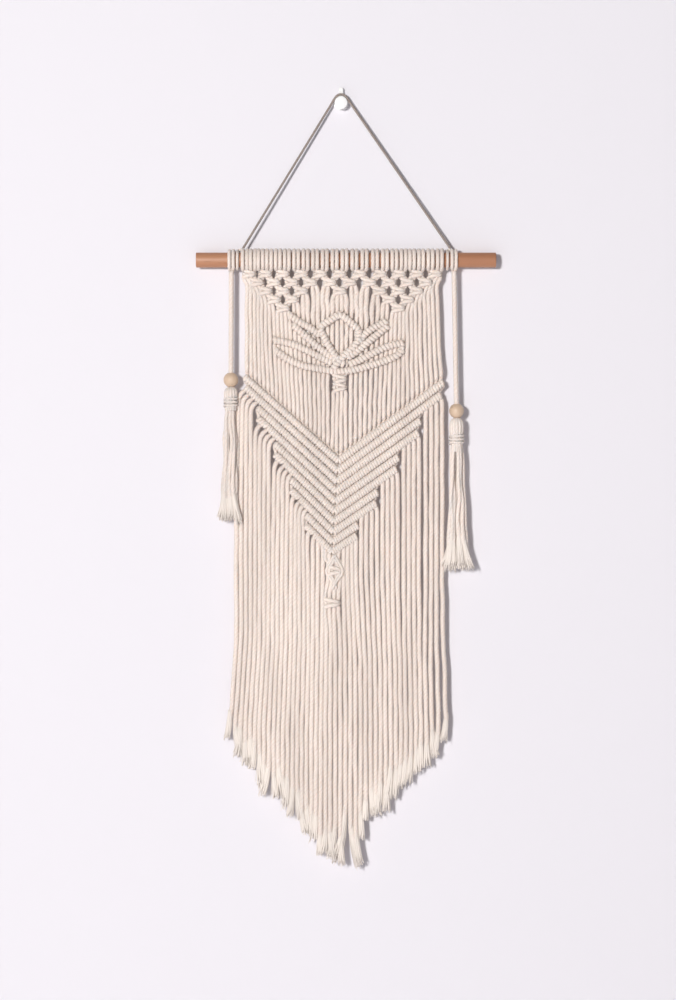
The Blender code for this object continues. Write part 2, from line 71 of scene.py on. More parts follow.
# The hook on the wall, and the thin cord over it with its turns round the dowel
HOOK = {"plate": 8.0, "plate_thick": 2.0, "stem": 4.6, "rise": 15.0, "stem_out": 5.0}
PLATE_EDGE = ((0.6, 0), (0.15, 0.25), (0, 0.7))  # its rounding, from its face and in from its rim
HOOK_PEG = {"radius": 4.6, "rise": 1.0}
HOOK_BUTTON = {"radius": 6.5, "drop": 1.4, "near": 10.0, "thick": 2.6, "rounding": 0.8}
HANGER_RADIUS, HANGER_LAY = 1.3, 10.0
HANGER_OUT, HANGER_BEND = 7.5, 6.5  # how far from the wall it is at the hook, and its bend there
HANGER_FEET = ((-98.5, AXIS_Z + 10.95), (109.5, AXIS_Z + 11.4))
HANGER_STEPS = 18  # on each of its straight runs
TIES = {"left": -103.5, "right": 106.4}
TIE_RADIUS, TIE_REACH, TIE_TURN = 1.6, DOWEL_RADIUS + 1.65, range(60, 421, 20)
LINK_RADIUS = 1.5
# From a tie up to the hanging cord's foot: share of the way, degrees, and distance off the dowel
LINK = ((0.0, 95, 2.0), (0.5, 91, 2.6), (1.0, 87, 3.2))

# The heading, and the net of square knots under the dowel
HEADING_RADIUS = 2.15  # a cord's radius there, and how far its two legs are from its middle
# A lark's head behind the dowel: share of the way out to the leg, degrees, and radii further out
LARK_BACK = ((0, 229, 2.3), (0.6, 226, 2.25), (1, 205, 1.3), (1, 180, 0.3))
LARK_FRONT = np.linspace(155, -60, 10)
KNOT_SHIFTS = (-92, -76, -58.5, -40, -21, -1.4, 18.5, 39, 58, 75.5, 94)
STRANDS_A_KNOT = 4
NET_DROP = 13.8
ROW_PITCH = 8.6
TRIANGLES = ((0, 4), (4, 6), (6, 10))
KNOT_HALF = (5.4, 3.0)  # half its width between the outer strands' middles, and half its height
KNOT_RADIUS = 2.3
# Where each part of a square knot runs: share of half width, depth, share of half height
KNOT_ROUTES = {
    "first": (
        (-0.98, -0.5, 1.05),
        (-0.6, -2.3, 0.85),
        (0.05, -3.2, 0.58),
        (0.76, -2.4, 0.36),
        (1.04, -0.3, 0.0),
        (0.76, -2.5, -0.36),
        (0, -3.2, -0.58),
        (-0.6, -2.4, -0.85),
        (-0.98, -0.2, -1.05),
    ),
    "last": (
        (0.95, 0.5, 1),
        (0.5, 2.5, 0.7),
        (0, 2.9, 0.48),
        (-0.65, 2.1, 0.3),
        (-1.0, -0.9, 0),
        (-0.62, 2.1, -0.3),
        (0, 2.9, -0.48),
        (0.6, 2.3, -0.7),
        (0.95, 0.3, -1),
    ),
}
MIDDLE_STRANDS = range(20, 24)  # these four are knotted again below the lily and at the diamond
# Those knots: x, z, half width and half height
LILY_KNOTS = ((-1.4, -278.0, 5.8, 3.8), (-1.4, -286.2, 5.8, 3.8))
LOWER_KNOTS = ((-6.8, -469.5, 6.2, 4.2), (-9.2, -502.0, 7.0, 4.0))
LILY_KNOT_RADIUS, LOWER_KNOT_RADIUS = 2.1, 2.4

# Bars of half hitches: the chevron's ten, and the water lily's petals, bud and boat
CHEVRON_TIP = np.array((-2.0, MIDDLE_Y, -355.0))
CHEVRON_STEP = np.array((-0.73, 0.0, -10.1))
CHEVRON_BARS = 10
# Before its first bar: height above it, depth, and share of a strand's radius
CHEVRON_ENTRY = ((10.8, -0.6, 0.91), (6.0, 3.4, 0.82))
STRANDS_A_SIDE = 22
STRANDS_A_STEP = 4
ARMS = (
    {"side": -1, "slope": 0.889, "slope_step": 0.013, "pitch": 4.3, "pitch_step": -0.075,
     "wide": 4.2, "overhang": 1.35},
    {"side": 1, "slope": 0.755, "slope_step": -0.011, "pitch": 4.8, "pitch_step": -0.075,
     "wide": 4.4, "overhang": 0.0},
)
TURN_PITCH, TURN_STEPS, WIDEST_TURN = 3.1, 8, 2.0
TURN_FULL, TURN_SLIDE, TURN_FLAT = 0.72, 0.94, 0.86  # its radius, way along and depth, as shares
LILY_BARS = {  # how far a bar stands in front of the others, and its places across and up
    "boat": (0.0, ((-65.6, -249), (-53, -258), (-40, -264), (-17, -268.6), (-5, -270.4), (9, -269.5),
                   (27, -265), (44, -259.7), (58.5, -252.6), (63, -247))),
    "lower_left": (0.3, ((-67.4, -239), (-49, -243), (-37, -248), (-25, -254), (-8.5, -262.4))),
    "lower_right": (0.3, ((63, -242), (49.5, -244.5), (34, -251), (23, -257), (9, -263.3))),
    "upper_left_low": (0.6, ((-48, -224), (-35.3, -235), (-23.7, -245.3), (-10.3, -256), (-4, -261))),
    "upper_left_high": (0.4, ((-51.4, -214), (-40, -222), (-29, -228), (-22, -234.5))),
    "upper_right_low": (0.6, ((47, -225), (37, -233), (26, -242), (15, -251), (6, -257))),
    "upper_right_high": (0.4, ((46, -220), (31, -228), (22, -235), (18, -242))),
    "bud_left": (0.9, ((-21, -227.6), (-17, -236), (-13, -243.6), (-5, -256), (3, -264))),
    "bud_right": (1.6, ((18, -229), (17.4, -239), (12, -247), (4, -254), (-3, -261.5), (-7, -267))),
    "bud_top": (0.8, ((-21, -226), (-11, -219.5), (-0.5, -214), (9, -221), (18, -229))),
}
LILY_FRONT = 0.8  # how far a bar's core stands in front of the panel's middle
LILY_REACH, LILY_TURN, LILY_PITCH = 1.95, 2.2, 3.7
CORE_RADIUS = 1.3
DIAMOND = {"x": -6.5, "z": -470.0, "half_width": 7.2, "half_height": 15.5, "radius": 1.75, "front": 2.4}

# A strand on its way down: its radius as a share of the hanging one, and how far it wanders
LOOSE_STRANDS = range(13, 31)  # between the net and the lily these are soft and wander more
TIGHT, SOFT, PRESSED = 0.91, 1.1, 0.92
WANDER, SOFT_WANDER = 0.4, 0.9
UNEVEN_PACES, UNEVEN_SHARE = (0.31, 0.83, 1.7), 0.016  # its thickness rises and falls along it
PLAIN_STEP, LOOSE_STEP = 16, 10  # between its points
UNDER_NET = ((-98, -40, 40, 100.9), (-94.6, -40, 40, 96.6))  # strands draw together below the knots
BESIDE_NET = 0.35
# Where a bar hides a strand: half a flat bar's height, a steep one's, and the least gap between two
LILY_HIDES = {"half": 3.5, "most": 9, "gap": 1.5}
# Behind a bar of the lily: distances above and below the hidden stretch and inside it, and depths
LILY_DIVE = {"clear": 2.5, "enter": 1.8, "enter_depth": 2.2, "inside": 1.5, "depth": 4.2, "spacing": 5,
             "leave": 2.4, "leave_depth": 1.4}

# Fringe: where a strand hangs, by its place counted out from the tip, and where it ends
FRINGE_OUT = (0, 18, 20, 22)
FRINGE_PLACES = {-1: (8, 88, 97.5, 107), 1: (-8, 81, 92, 106.5)}
FRINGE_GROUPS = {  # under each of the chevron's steps: the outermost strand's place and the pitch
    -1: ((102.5, 4.1), (85.4, 4.4), (66.8, 4.4), (49.3, 3.7), (33.5, 5.2), (15.8, 4.4)),
    1: ((101.2, 5.5), (78.0, 5.05), (56.8, 5.05), (36.2, 5.3), (15.0, 4.1), (-2.8, 4.4)),
}
# From the last bar into the fringe: share of the way across, drop, depth, share of the radius
FRINGE_ENTRY = ((0.25, 3.6, 1.2, 0.88), (0.62, 5.6, 0.1, 1), (0.9, 9.2, 0, 1), (1, 14, 0, 1))
FRINGE_FREE, FRINGE_STEPS = 24, (14, 22)  # first point below the last bar, and between the next
FRINGE_SPREADS = (-480.0, 80.0)  # where the right side starts to hang evenly, and over how long
FRINGE_SETTLED = (-540.0, 85.0)  # where the ends start to flare, and over how long
FRINGE_FLARE = {-1: 1.06, 1: 1.02}
FRINGE_ACROSS = (-105, -14, 4, 12, 22, 105)
FRINGE_DOWN = (642, 757, 765, 765, 728, 642)
FRINGE_UNEVEN = 6
FRINGE_FORWARD = ((560, 740), (0.0, 5.0))  # how far the ends stand out from the wall, by height
TIP_ACROSS, TIP_HALF, TIP_FRAY = 8.0, 5, 1.9  # at the tip the frayed ends are longer
FRAY_LOCKS = 9
LOCK_ROOT, FIBRE_ROOT = 9, 2  # how far up into the cord a lock and a fibre start
LOCKS_OUT = 0.62  # how far out the locks stand, as a share of the cord's radius
FRAY_CLOSED, FRAY_OPENS = 0.78, 1.4  # how wide they stand at their root, and how late they open

# Side cords, beads and tassels
SIDE_Y = MIDDLE_Y - 4.0
SIDE_TOP = AXIS_Z - 11.6
SIDE_RADIUS, SIDE_LAY = 2.7, 14.0
SIDE_LOOP = {"radius": 1.85, "apart": 1.95}
# Its ends below the dowel: distance from its middle, depth, drop and radius
SIDE_LOOP_ENDS = ((1.2, 2.2, 10.6, 1.8), (1.0, 0.0, 13.5, 1.5))
BEAD_RADIUS, BEAD_HEIGHT, BEAD_BORE = 7.4, 13.6, 3.1
SIDES = (
    {"name": "left", "loop": -109.6, "bead": (-110, -279), "head": 24, "wide": 6.2,
     "length": 138, "spread": 7.2, "brush": 1.5, "lean": -1.5},
    {"name": "right", "loop": 112.9, "bead": (115.5, -310), "head": 34, "wide": 6.6,
     "length": 154, "spread": 10.5, "brush": 0.5, "lean": 1.2},
)
TASSEL_LOOPS, TASSEL_STRANDS, TASSEL_RADIUS, TASSEL_LAY = 12, 13, 2.1, 17.0
# A tassel's inner and outer strands: shares of its head's width and of its spread
TASSEL_RINGS = {"inner": (0.3, 0.5), "outer": (0.66, 0.85)}
TASSEL_CUT, TASSEL_FRAY = (1, 7), (20, 28)  # how far a strand is cut short, and how long it frays
TASSEL_NECK = 0.62  # where it is bound, as a share of its head's height
BINDING = {"high": 10, "turns": 3, "radius": 1.75}

# Shares of a cord's radius at the sides of its section
THREE_PLY = (1.0, 0.975, 0.91, 0.975) * 3
LOCK = (1.0, 0.84) * 4
ROUND_CORE = (1.0,) * 8
FIBRE = (1.0,) * 3
GROOVE_DEPTH = ((1.3, 1.9), (0.45, 1.0))  # thin cords have shallower grooves: radii and depths
COTTON_LAY = 13.0
NO_TWIST = 1e6
MAP_LENGTH = 10.0  # mm of cord to one unit of its map
SHARP_EDGE = math.radians(40)

# The stage, in metres
WALL = {"half_width": 4.0, "top": 2.2, "floor": -1.35, "deep": 5.0, "bend": 0.3, "gap": 0.0008}
STAGE_MIDDLE = (0, 0, -0.4)
LAMPS = (
    {"name": "key", "place": (-1.45, -4.8, 0.05), "size": 0.5, "power": 214, "colour": (1, 0.985, 0.97)},
    {"name": "fill", "place": (1.2, -2.6, -0.2), "size": 2.0, "power": 2.5, "colour": (0.97, 0.97, 1)},
    {"name": "back", "place": (0.9, 2.4, 0.3), "size": 1.4, "power": 14, "colour": (1, 0.97, 0.94)},
)
SKY, SKY_STRENGTH = (0.93, 0.92, 0.96, 1), 0.13
CAMERA_PLACE, CAMERA_LENS = (-0.003, -3.0, -0.399), 107.5


class CordSizes(bpy.types.PropertyGroup):
    """Sizes of the cotton cords."""

    strand: FloatProperty(
        name="Strand", description="Radius of a hanging strand", default=2.56 * MM, unit="LENGTH"
    )
    lay: FloatProperty(
        name="Lay", description="Length of one turn of the twist", default=13 * MM, unit="LENGTH"
    )
    ring: FloatProperty(
        name="Ring step", description="Distance between a cord's rings", default=1.6 * MM, unit="LENGTH"
    )
    fray: FloatProperty(
        name="Fray", description="Length of the unravelled ends", default=21 * MM, unit="LENGTH"
    )
    fibres: IntProperty(name="Fibres", description="Fine fibres round one frayed end", default=16, min=0)
    seed: IntProperty(name="Seed", description="Seed of all unevenness", default=11)


class Colours(bpy.types.PropertyGroup):
    """Colours of the finishes."""

    cotton: FloatVectorProperty(
        name="Cotton", description="Lit cotton", subtype="COLOR", default=(0.85, 0.757, 0.695)
    )
    # Painted shade: this darker colour is laid into the grooves between the plies, and it is also the tone
    # of the darker fibre streaks and specks
    cotton_shade: FloatVectorProperty(
        name="Cotton grooves", description="Between the plies", subtype="COLOR", default=(0.66, 0.53, 0.445)
    )
    brush: FloatVectorProperty(
        name="Frayed cotton", description="Unravelled ends", subtype="COLOR", default=(0.80, 0.735, 0.67)
    )
    thin: FloatVectorProperty(
        name="Thin cord", description="Hanging cord", subtype="COLOR", default=(0.21, 0.185, 0.175)
    )
    dowel: FloatVectorProperty(
        name="Dowel", description="Stained wood", subtype="COLOR", default=(0.44, 0.215, 0.12)
    )
    dowel_grain: FloatVectorProperty(
        name="Dowel grain", description="Dark grain", subtype="COLOR", default=(0.33, 0.13, 0.06)
    )
    bead: FloatVectorProperty(
        name="Beads", description="Pale wood", subtype="COLOR", default=(0.61, 0.46, 0.335)
    )
    hook: FloatVectorProperty(
        name="Hook", description="White moulding", subtype="COLOR", default=(0.86, 0.86, 0.85)
    )
    wall: FloatVectorProperty(
        name="Wall", description="Painted wall", subtype="COLOR", default=(0.773, 0.755, 0.793)
    )


# Materials


class Finish:
    """A material with its shader, and the means to add nodes to it."""

    def __init__(self, name, colour, roughness, **values):
        self.made = bpy.data.materials.new(name)
        self.made.use_nodes = True
        self.nodes, self.links = self.made.node_tree.nodes, self.made.node_tree.links
        self.shader = self.nodes["Principled BSDF"]
        self.shader.inputs["Base Color"].default_value = (*colour, 1)
        self.shader.inputs["Roughness"].default_value = roughness
        for socket, value in values.items():
            self.shader.inputs[socket.replace("_", " ")].default_value = value

    def node(self, kind, output, inputs=(), **settings):
        """One output of a new node, whose inputs are values or other nodes' outputs."""
        made = self.nodes.new("ShaderNode" + kind)
        for name, value in settings.items():
            setattr(made, name, value)
        for socket, value in dict(inputs).items():
            if isinstance(value, bpy.types.NodeSocket):
                self.links.new(value, made.inputs[socket])
            else:
                made.inputs[socket].default_value = value
        return made.outputs[output]

    def noise(self, source, scale, stretch, detail):
        """Noise over stretched coordinates."""
        spread = self.node("Mapping", "Vector", {"Vector": source, "Scale": stretch})
        return self.node("TexNoise", "Fac", {"Vector": spread, "Scale": scale, "Detail": detail})

    def ranged(self, value, low, high, to_low=0.0, to_high=1.0):
        """A value mapped from one range to another, kept inside it."""
        limits = {"From Min": low, "From Max": high, "To Min": to_low, "To Max": to_high}
        return self.node("MapRange", "Result", {"Value": value, **limits})

    def mixed(self, factor, *colours):
        """A colour between two, by a factor. Each is a colour or another node's output."""
        first, second = (c if isinstance(c, bpy.types.NodeSocket) else (*c, 1) for c in colours)
        return self.node("Mix", 2, {"Factor": factor, 6: first, 7: second}, data_type="RGBA")

    def surface(self, height, strength, distance, **sources):
        """Raises the surface by a height, and gives the shader its colour and the like."""
        for socket, source in sources.items():
            self.links.new(source, self.shader.inputs[socket.replace("_", " ")])
        raised = {"Height": height, "Strength": strength, "Distance": distance}
        self.links.new(self.node("Bump", "Normal", raised), self.shader.inputs["Normal"])
        return self.made


def scaled(colour, share):
    """A colour made darker or lighter."""
    return tuple(min(share * c, 1) for c in colour)


def cotton(name, colour, shade, plies=3):
    """Matt twisted cotton: painted shade in the grooves between the plies, darker fibre streaks and specks
    along them, uneven cream.
    """
    finish = Finish(
        name, colour, 0.92, Specular_IOR_Level=0.15, Sheen_Weight=0.25, Sheen_Roughness=0.5,
        Subsurface_Weight=0.35 if plies else 0.0, Subsurface_Radius=(1.0, 0.8, 0.65),
        Subsurface_Scale=2.5 * MM,
    )
    place = finish.node("TexCoord", "Object")
    along = finish.node("UVMap", "UV", uv_map="Along")
    fibres = finish.noise(along, 1.0, (26, 1.3, 1), 3)
    specks = finish.noise(along, 1.0, (7, 3.4, 1), 2)
    tone = finish.noise(place, 55, (1, 1, 0.12), 2)
    round_it = finish.node("SeparateXYZ", "X", {"Vector": along})
    wave = finish.node("Math", "Value", {0: round_it, 1: TAU * plies}, operation="MULTIPLY")
    crest = finish.node("Math", "Value", {0: wave}, operation="COSINE")
    # Painted shade: the grooves between the plies are darkened towards the shade colour
    groove_shade = finish.ranged(crest, -0.95, 0.1, 0.2, 0.0)
    tint = finish.mixed(finish.ranged(tone, 0.35, 0.65), scaled(colour, 0.93), scaled(colour, 1.05))
    tint = finish.mixed(finish.ranged(fibres, 0.3, 0.62, 0.35, 0.0), tint, shade)
    tint = finish.mixed(finish.ranged(specks, 0.56, 0.7, 0.0, 0.3), tint, shade)
    if plies:
        tint = finish.mixed(groove_shade, tint, shade)
    return finish.surface(fibres, 0.5, 0.25 * MM, Base_Color=tint)


def wood(name, light, dark, stretch, roughness):
    """Turned wood with its grain along one way."""
    finish = Finish(name, light, roughness)
    place = finish.node("TexCoord", "Object")
    streaks = finish.noise(place, 60, stretch, 6)
    broad = finish.noise(place, 18, stretch, 2)
    pores = finish.noise(place, 420, stretch, 2)
    tint = finish.mixed(finish.ranged(streaks, 0.38, 0.7), light, dark)
    tint = finish.mixed(finish.ranged(pores, 0.66, 0.74, 0.0, 0.8), tint, scaled(dark, 0.4))
    tint = finish.mixed(finish.ranged(broad, 0.3, 0.7, 0.0, 0.5), tint, scaled(light, 1.25))
    matt = finish.ranged(streaks, 0.3, 0.7, roughness - 0.07, roughness + 0.12)
    return finish.surface(streaks, 0.25, 0.12 * MM, Base_Color=tint, Roughness=matt)


def white_moulding(name, colour):
    """Glossy white plastic with a slight orange peel."""
    finish = Finish(name, colour, 0.32, Coat_Weight=0.2, Coat_Roughness=0.15)
    orange_peel = finish.noise(finish.node("TexCoord", "Object"), 900, (1, 1, 1), 2)
    tint = finish.mixed(finish.ranged(orange_peel, 0.3, 0.7, 0.0, 0.15), colour, scaled(colour, 0.9))
    return finish.surface(orange_peel, 0.08, 0.05 * MM, Base_Color=tint)


def wall_paint(colour):
    """Matt paint that is seen from its front only, so that the back can be looked at."""
    finish = Finish("wall_paint", colour, 0.9)
    sides = {
        "Fac": finish.node("NewGeometry", "Backfacing"),
        1: finish.shader.outputs["BSDF"],
        2: finish.node("BsdfTransparent", "BSDF"),
    }
    choose = finish.node("MixShader", "Shader", sides)
    finish.links.new(choose, finish.nodes["Material Output"].inputs["Surface"])
    return finish.made


# Cords


def smooth_path(controls, step):
    """Even places on a smooth line through control points (x, y, z, radius)."""
    points = np.array(controls, float)
    gaps = np.linalg.norm(np.diff(points[:, :3], axis=0), axis=1)
    points = points[np.r_[True, gaps > 1e-4]]
    spans = np.linalg.norm(np.diff(points[:, :3], axis=0), axis=1)
    slopes = np.gradient(points, np.r_[0, np.cumsum(spans)], axis=0)
    t = np.linspace(0, 1, 7)[:-1][None, :, None]
    start, end = points[:-1, None], points[1:, None]
    leave, arrive = slopes[:-1, None] * spans[:, None, None], slopes[1:, None] * spans[:, None, None]
    fine = (
        (2 * t**3 - 3 * t**2 + 1) * start
        + (t**3 - 2 * t**2 + t) * leave
        + (3 * t**2 - 2 * t**3) * end
        + (t**3 - t**2) * arrive
    )
    fine = np.concatenate([fine.reshape(-1, points.shape[1]), points[-1:]])
    length = np.r_[0, np.cumsum(np.linalg.norm(np.diff(fine[:, :3], axis=0), axis=1))]
    even = np.linspace(0, length[-1], max(2, round(length[-1] / step)) + 1)
    return np.column_stack([np.interp(even, length, column) for column in fine.T])


def frames_along(line):
    """Two directions across a line at each of its points, without twist, and its length so far."""
    ahead = np.gradient(line, axis=0)
    tangent = ahead / np.linalg.norm(ahead, axis=1, keepdims=True)
    side = np.array((0.0, 1.0, 0.0)) if abs(tangent[0, 1]) < 0.8 else np.array((1.0, 0.0, 0.0))
    normal = np.empty_like(tangent)
    for i, t in enumerate(tangent):
        side = side - t * (side @ t)
        side = side / math.sqrt(side @ side)
        normal[i] = side
    along = np.r_[0, np.cumsum(np.linalg.norm(np.diff(line, axis=0), axis=1))]
    return normal, np.cross(tangent, normal), along


def coil_round(line, reach, pitch, radius):
    """A cord wound round a line, turn beside turn, as a path."""
    normal, across, along = frames_along(line[:, :3])
    steps = np.arange(0, along[-1], pitch / 9)
    a = (TAU * steps / pitch)[:, None]
    middle, n, b = (
        np.column_stack([np.interp(steps, along, column) for column in lines.T])
        for lines in (line[:, :3], normal, across)
    )
    return np.column_stack([middle + reach * (np.cos(a) * n + np.sin(a) * b), np.full(len(steps), radius)])


class Yarn:
    """Gathers cords, then makes them one mesh with a map of the way round and along each."""

    def __init__(self):
        self.points, self.quads, self.spots = [], [], []
        self.used = 0

    def lay(self, path, profile=THREE_PLY, lay=COTTON_LAY, turn=0.0):
        """Sweeps a cord along a path of (x, y, z, radius), closed at its ends by quads."""
        sides, rings = len(profile), len(path)
        radius = path[:, 3:4]
        normal, across, along = frames_along(path[:, :3])
        angle = turn + TAU * (along[:, None] / lay + np.arange(sides) / sides)
        reach = radius * (1 - np.interp(radius, *GROOVE_DEPTH) * (1 - np.array(profile)))
        ring = path[:, None, :3] + (reach * np.cos(angle))[..., None] * normal[:, None]
        ring = ring + (reach * np.sin(angle))[..., None] * across[:, None]
        k = np.arange(sides)
        after = (k + 1) % sides
        row = np.arange(rings - 1)[:, None] * sides
        quads = np.stack([row + k, row + after, row + sides + after, row + sides + k], axis=-1)
        here, beyond, low, high = np.broadcast_arrays(
            k / sides, (k + 1) / sides, along[:-1, None] / MAP_LENGTH, along[1:, None] / MAP_LENGTH
        )
        spots = np.stack([here, low, beyond, low, beyond, high, here, high], axis=-1)
        quads, spots = quads.reshape(-1, 4), spots.reshape(-1, 8)
        if sides % 2 == 0:
            j = np.arange(sides // 2 - 1)
            cap = np.stack([-j % sides, j + 1, j + 2, (-j - 1) % sides], axis=-1)
            ends = np.concatenate([cap[:, ::-1], cap + (rings - 1) * sides])
            quads = np.concatenate([quads, ends])
            spots = np.concatenate([spots, np.zeros((len(ends), 8))])
        self.points.append(ring.reshape(-1, 3))
        self.quads.append(quads + self.used)
        self.spots.append(spots)
        self.used += rings * sides

    def piece(self, name, finish, slot, *nodes):
        """Makes the gathered cords one piece of the hanging."""
        points, quads = np.concatenate(self.points) * MM, np.concatenate(self.quads)
        mesh = bpy.data.meshes.new(name)
        mesh.vertices.add(len(points))
        mesh.vertices.foreach_set("co", points.astype(np.float32).ravel())
        mesh.loops.add(quads.size)
        mesh.loops.foreach_set("vertex_index", quads.astype(np.int32).ravel())
        mesh.polygons.add(len(quads))
        mesh.polygons.foreach_set("loop_start", np.arange(0, quads.size, 4, dtype=np.int32))
        spots = mesh.uv_layers.new(name="Along")
        spots.data.foreach_set("uv", np.concatenate(self.spots).astype(np.float32).ravel())
        mesh.update(calc_edges=True)
        mesh.validate()
        mesh.shade_smooth()
        return hang(mesh, name, finish, slot, *nodes)


def hang(mesh, name, finish, slot, *nodes):
    """Puts a mesh in the scene as a piece that stands for the CAD nodes."""
    mesh.materials.append(finish)
    piece = bpy.data.objects.new(name, mesh)
    bpy.context.scene.collection.objects.link(piece)
    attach(piece, "root")
    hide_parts(*nodes)
    return piece


def turned(profile, axis, start, sides=64):
    """A smooth solid turned about an axis. The profile is (distance along it, radius) in mm."""
    axis = Vector(axis)
    across = Vector((0, 0, 1)) if abs(axis.x) > 0.5 else Vector((1, 0, 0))
    up = axis.cross(across)
    points, faces = [], []
    for along, radius in profile:
        for k in range(sides):
            a = TAU * k / sides
            spot = Vector(start) + axis * along + (across * math.cos(a) + up * math.sin(a)) * radius
            points.append(spot * MM)
    for row in range(len(profile) - 1):
        for k in range(sides):
            after = (k + 1) % sides
            low, high = row * sides, (row + 1) * sides
            faces.append((low + k, low + after, high + after, high + k))
    faces.append(tuple(reversed(range(sides))))
    faces.append(tuple(range((len(profile) - 1) * sides, len(profile) * sides)))
    return points, faces


def solid_mesh(name, solids):
    """One mesh from several turned or swept solids."""
    points, faces = [], []
    for more_points, more_faces in solids:
        faces += [tuple(k + len(points) for k in face) for face in more_faces]
        points += more_points
    mesh = bpy.data.meshes.new(name)
    mesh.from_pydata(points, [], faces)
    mesh.update()
    mesh.shade_smooth()
    mesh.set_sharp_from_angle(angle=SHARP_EDGE)
    return mesh


# Places on the hanging


def around_dowel(x, degrees, reach, radius):
    """A place round the dowel: 0 degrees is its front and 90 its top."""
    a = math.radians(degrees)
    return (x, MIDDLE_Y - reach * math.cos(a), AXIS_Z + reach * math.sin(a), radius)


def lark_head_leg(x, middle, radius):
    """From the middle of the cord, behind the dowel, up the back, over it and down its front."""
    reach = DOWEL_RADIUS + radius + 0.1
    leg = [
        around_dowel(middle + share * (x - middle), degrees, reach + further * radius, radius)
        for share, degrees, further in LARK_BACK
    ]
    return leg + [around_dowel(x, degrees, reach, radius) for degrees in LARK_FRONT]


def strand_shift(i):
    """Where strand i leaves the heading."""
    knot, member = divmod(i, STRANDS_A_KNOT)
    before, after = max(knot - 1, 0), min(knot + 1, len(KNOT_SHIFTS) - 1)
    pitch = (KNOT_SHIFTS[after] - KNOT_SHIFTS[before]) / (after - before) / STRANDS_A_KNOT
    return KNOT_SHIFTS[knot] + (member - (STRANDS_A_KNOT - 1) / 2) * pitch


def beside_net(x):
    """How far a free strand at x is drawn towards the middle of its triangle of knots."""
    middles = [(KNOT_SHIFTS[first] + KNOT_SHIFTS[last]) / 2 for first, last in TRIANGLES]
    aside = min((x - middle for middle in middles), key=abs)
    return BESIDE_NET * float(np.clip(aside / 8, -1, 1))


def net_knots():
    """The square knots' middles: {(row, place): (x, z)}, with places in half pitches."""
    knots = {}
    for first, last in TRIANGLES:
        shifts = {2 * k: KNOT_SHIFTS[k] for k in range(first, last + 1)}
        row = 0
        while shifts:
            for place, shift in shifts.items():
                knots[row, place] = (shift, AXIS_Z - NET_DROP - row * ROW_PITCH)
            shifts = {
                place + 1: (shift + shifts[place + 2]) / 2
                for place, shift in shifts.items()
                if place + 2 in shifts
            }
            row += 1
    return knots


def knot_route(role, x, z, half_width, half_height, radius):
    """The way of one of a square knot's four strands through it."""
    if role in (1, 2):
        side = max(1.7, 0.33 * half_width) * (-1 if role == 1 else 1)
        return [(x + side, MIDDLE_Y - 0.2, z + up * half_height, 0.9 * radius) for up in (1, 0, -1)]
    return [
        (x + across * half_width, MIDDLE_Y + depth, z + up * half_height, radius)
        for across, depth, up in KNOT_ROUTES["first" if role == 0 else "last"]
    ]


def arm_of(i):
    """The chevron's arm that strand i crosses, and its place counted out from the tip."""
    if i < STRANDS_A_SIDE:
        return ARMS[0], STRANDS_A_SIDE - i - 0.5
    return ARMS[1], i - STRANDS_A_SIDE + 0.5


def chevron_point(arm, line, out):
    """A place on the chevron: lines count down from its top edge, and out counts strands."""
    reach = (arm["pitch"] + arm["pitch_step"] * line) * out
    slope = arm["slope"] + arm["slope_step"] * line
    return CHEVRON_TIP + CHEVRON_STEP * line + np.array((arm["side"] * reach, 0, slope * reach))


def bar_hitch(centre, along, spacing, wide):
    """A double half hitch, or more turns where the bar is steep: its place, ways and sizes."""
    turns = max(2, round(spacing / TURN_PITCH))
    radius = min(TURN_FULL * spacing / turns, WIDEST_TURN)
    down = np.array((along[2], 0, -along[0]))
    return {
        "centre": centre,
        "along": along,
        "down": down if down[2] < 0 else -down,
        "spacing": spacing,
        "turns": turns,
        "radius": radius,
        "reach": wide - radius,
        "outward": 1,
    }


def hitch_route(hitch, chance):
    """Behind the bar from above, round it turn by turn, and out below it."""
    steps = TURN_STEPS * hitch["turns"]
    route = []
    for step in range(steps + 1):
        a = TAU * step / TURN_STEPS
        slide = hitch["outward"] * TURN_SLIDE * hitch["spacing"] * (step / steps - 0.5)
        reach = hitch["reach"] + chance.uniform(-0.06, 0.06)
        place = hitch["centre"] + hitch["along"] * slide + hitch["down"] * reach * math.sin(a)
        place = place + np.array((0, TURN_FLAT * reach * math.cos(a), 0))
        route.append((*place, hitch["radius"]))
    return route


def lily_line(name):
    """The middle line of one of the lily's bars."""
    front, places = LILY_BARS[name]
    return smooth_path([(x, MIDDLE_Y - LILY_FRONT - front, z, CORE_RADIUS) for x, z in places], step=1.0)


def lily_crossings(top, foot):
    """Where a strand from top to foot goes behind the lily's bars: (low, high), from the top down."""
    found = []
    for name in LILY_BARS:
        line = lily_line(name)
        share = (top[1] - line[:, 2]) / (top[1] - foot[1])
        off = line[:, 0] - (top[0] + (foot[0] - top[0]) * share)
        for k in np.nonzero(np.diff(np.sign(off)) != 0)[0]:
            way = line[k + 1] - line[k]
            steep = math.hypot(way[0], way[2]) / max(abs(way[0]), 0.1)
            half = min(LILY_HIDES["half"] * steep, LILY_HIDES["most"])
            found.append((line[k, 2] - half, line[k, 2] + half))
    merged = []
    for low, high in sorted(found, reverse=True):
        if merged and high > merged[-1][0] - LILY_HIDES["gap"]:
            merged[-1] = (min(low, merged[-1][0]), max(high, merged[-1][1]))
        else:
            merged.append((low, high))
    return merged


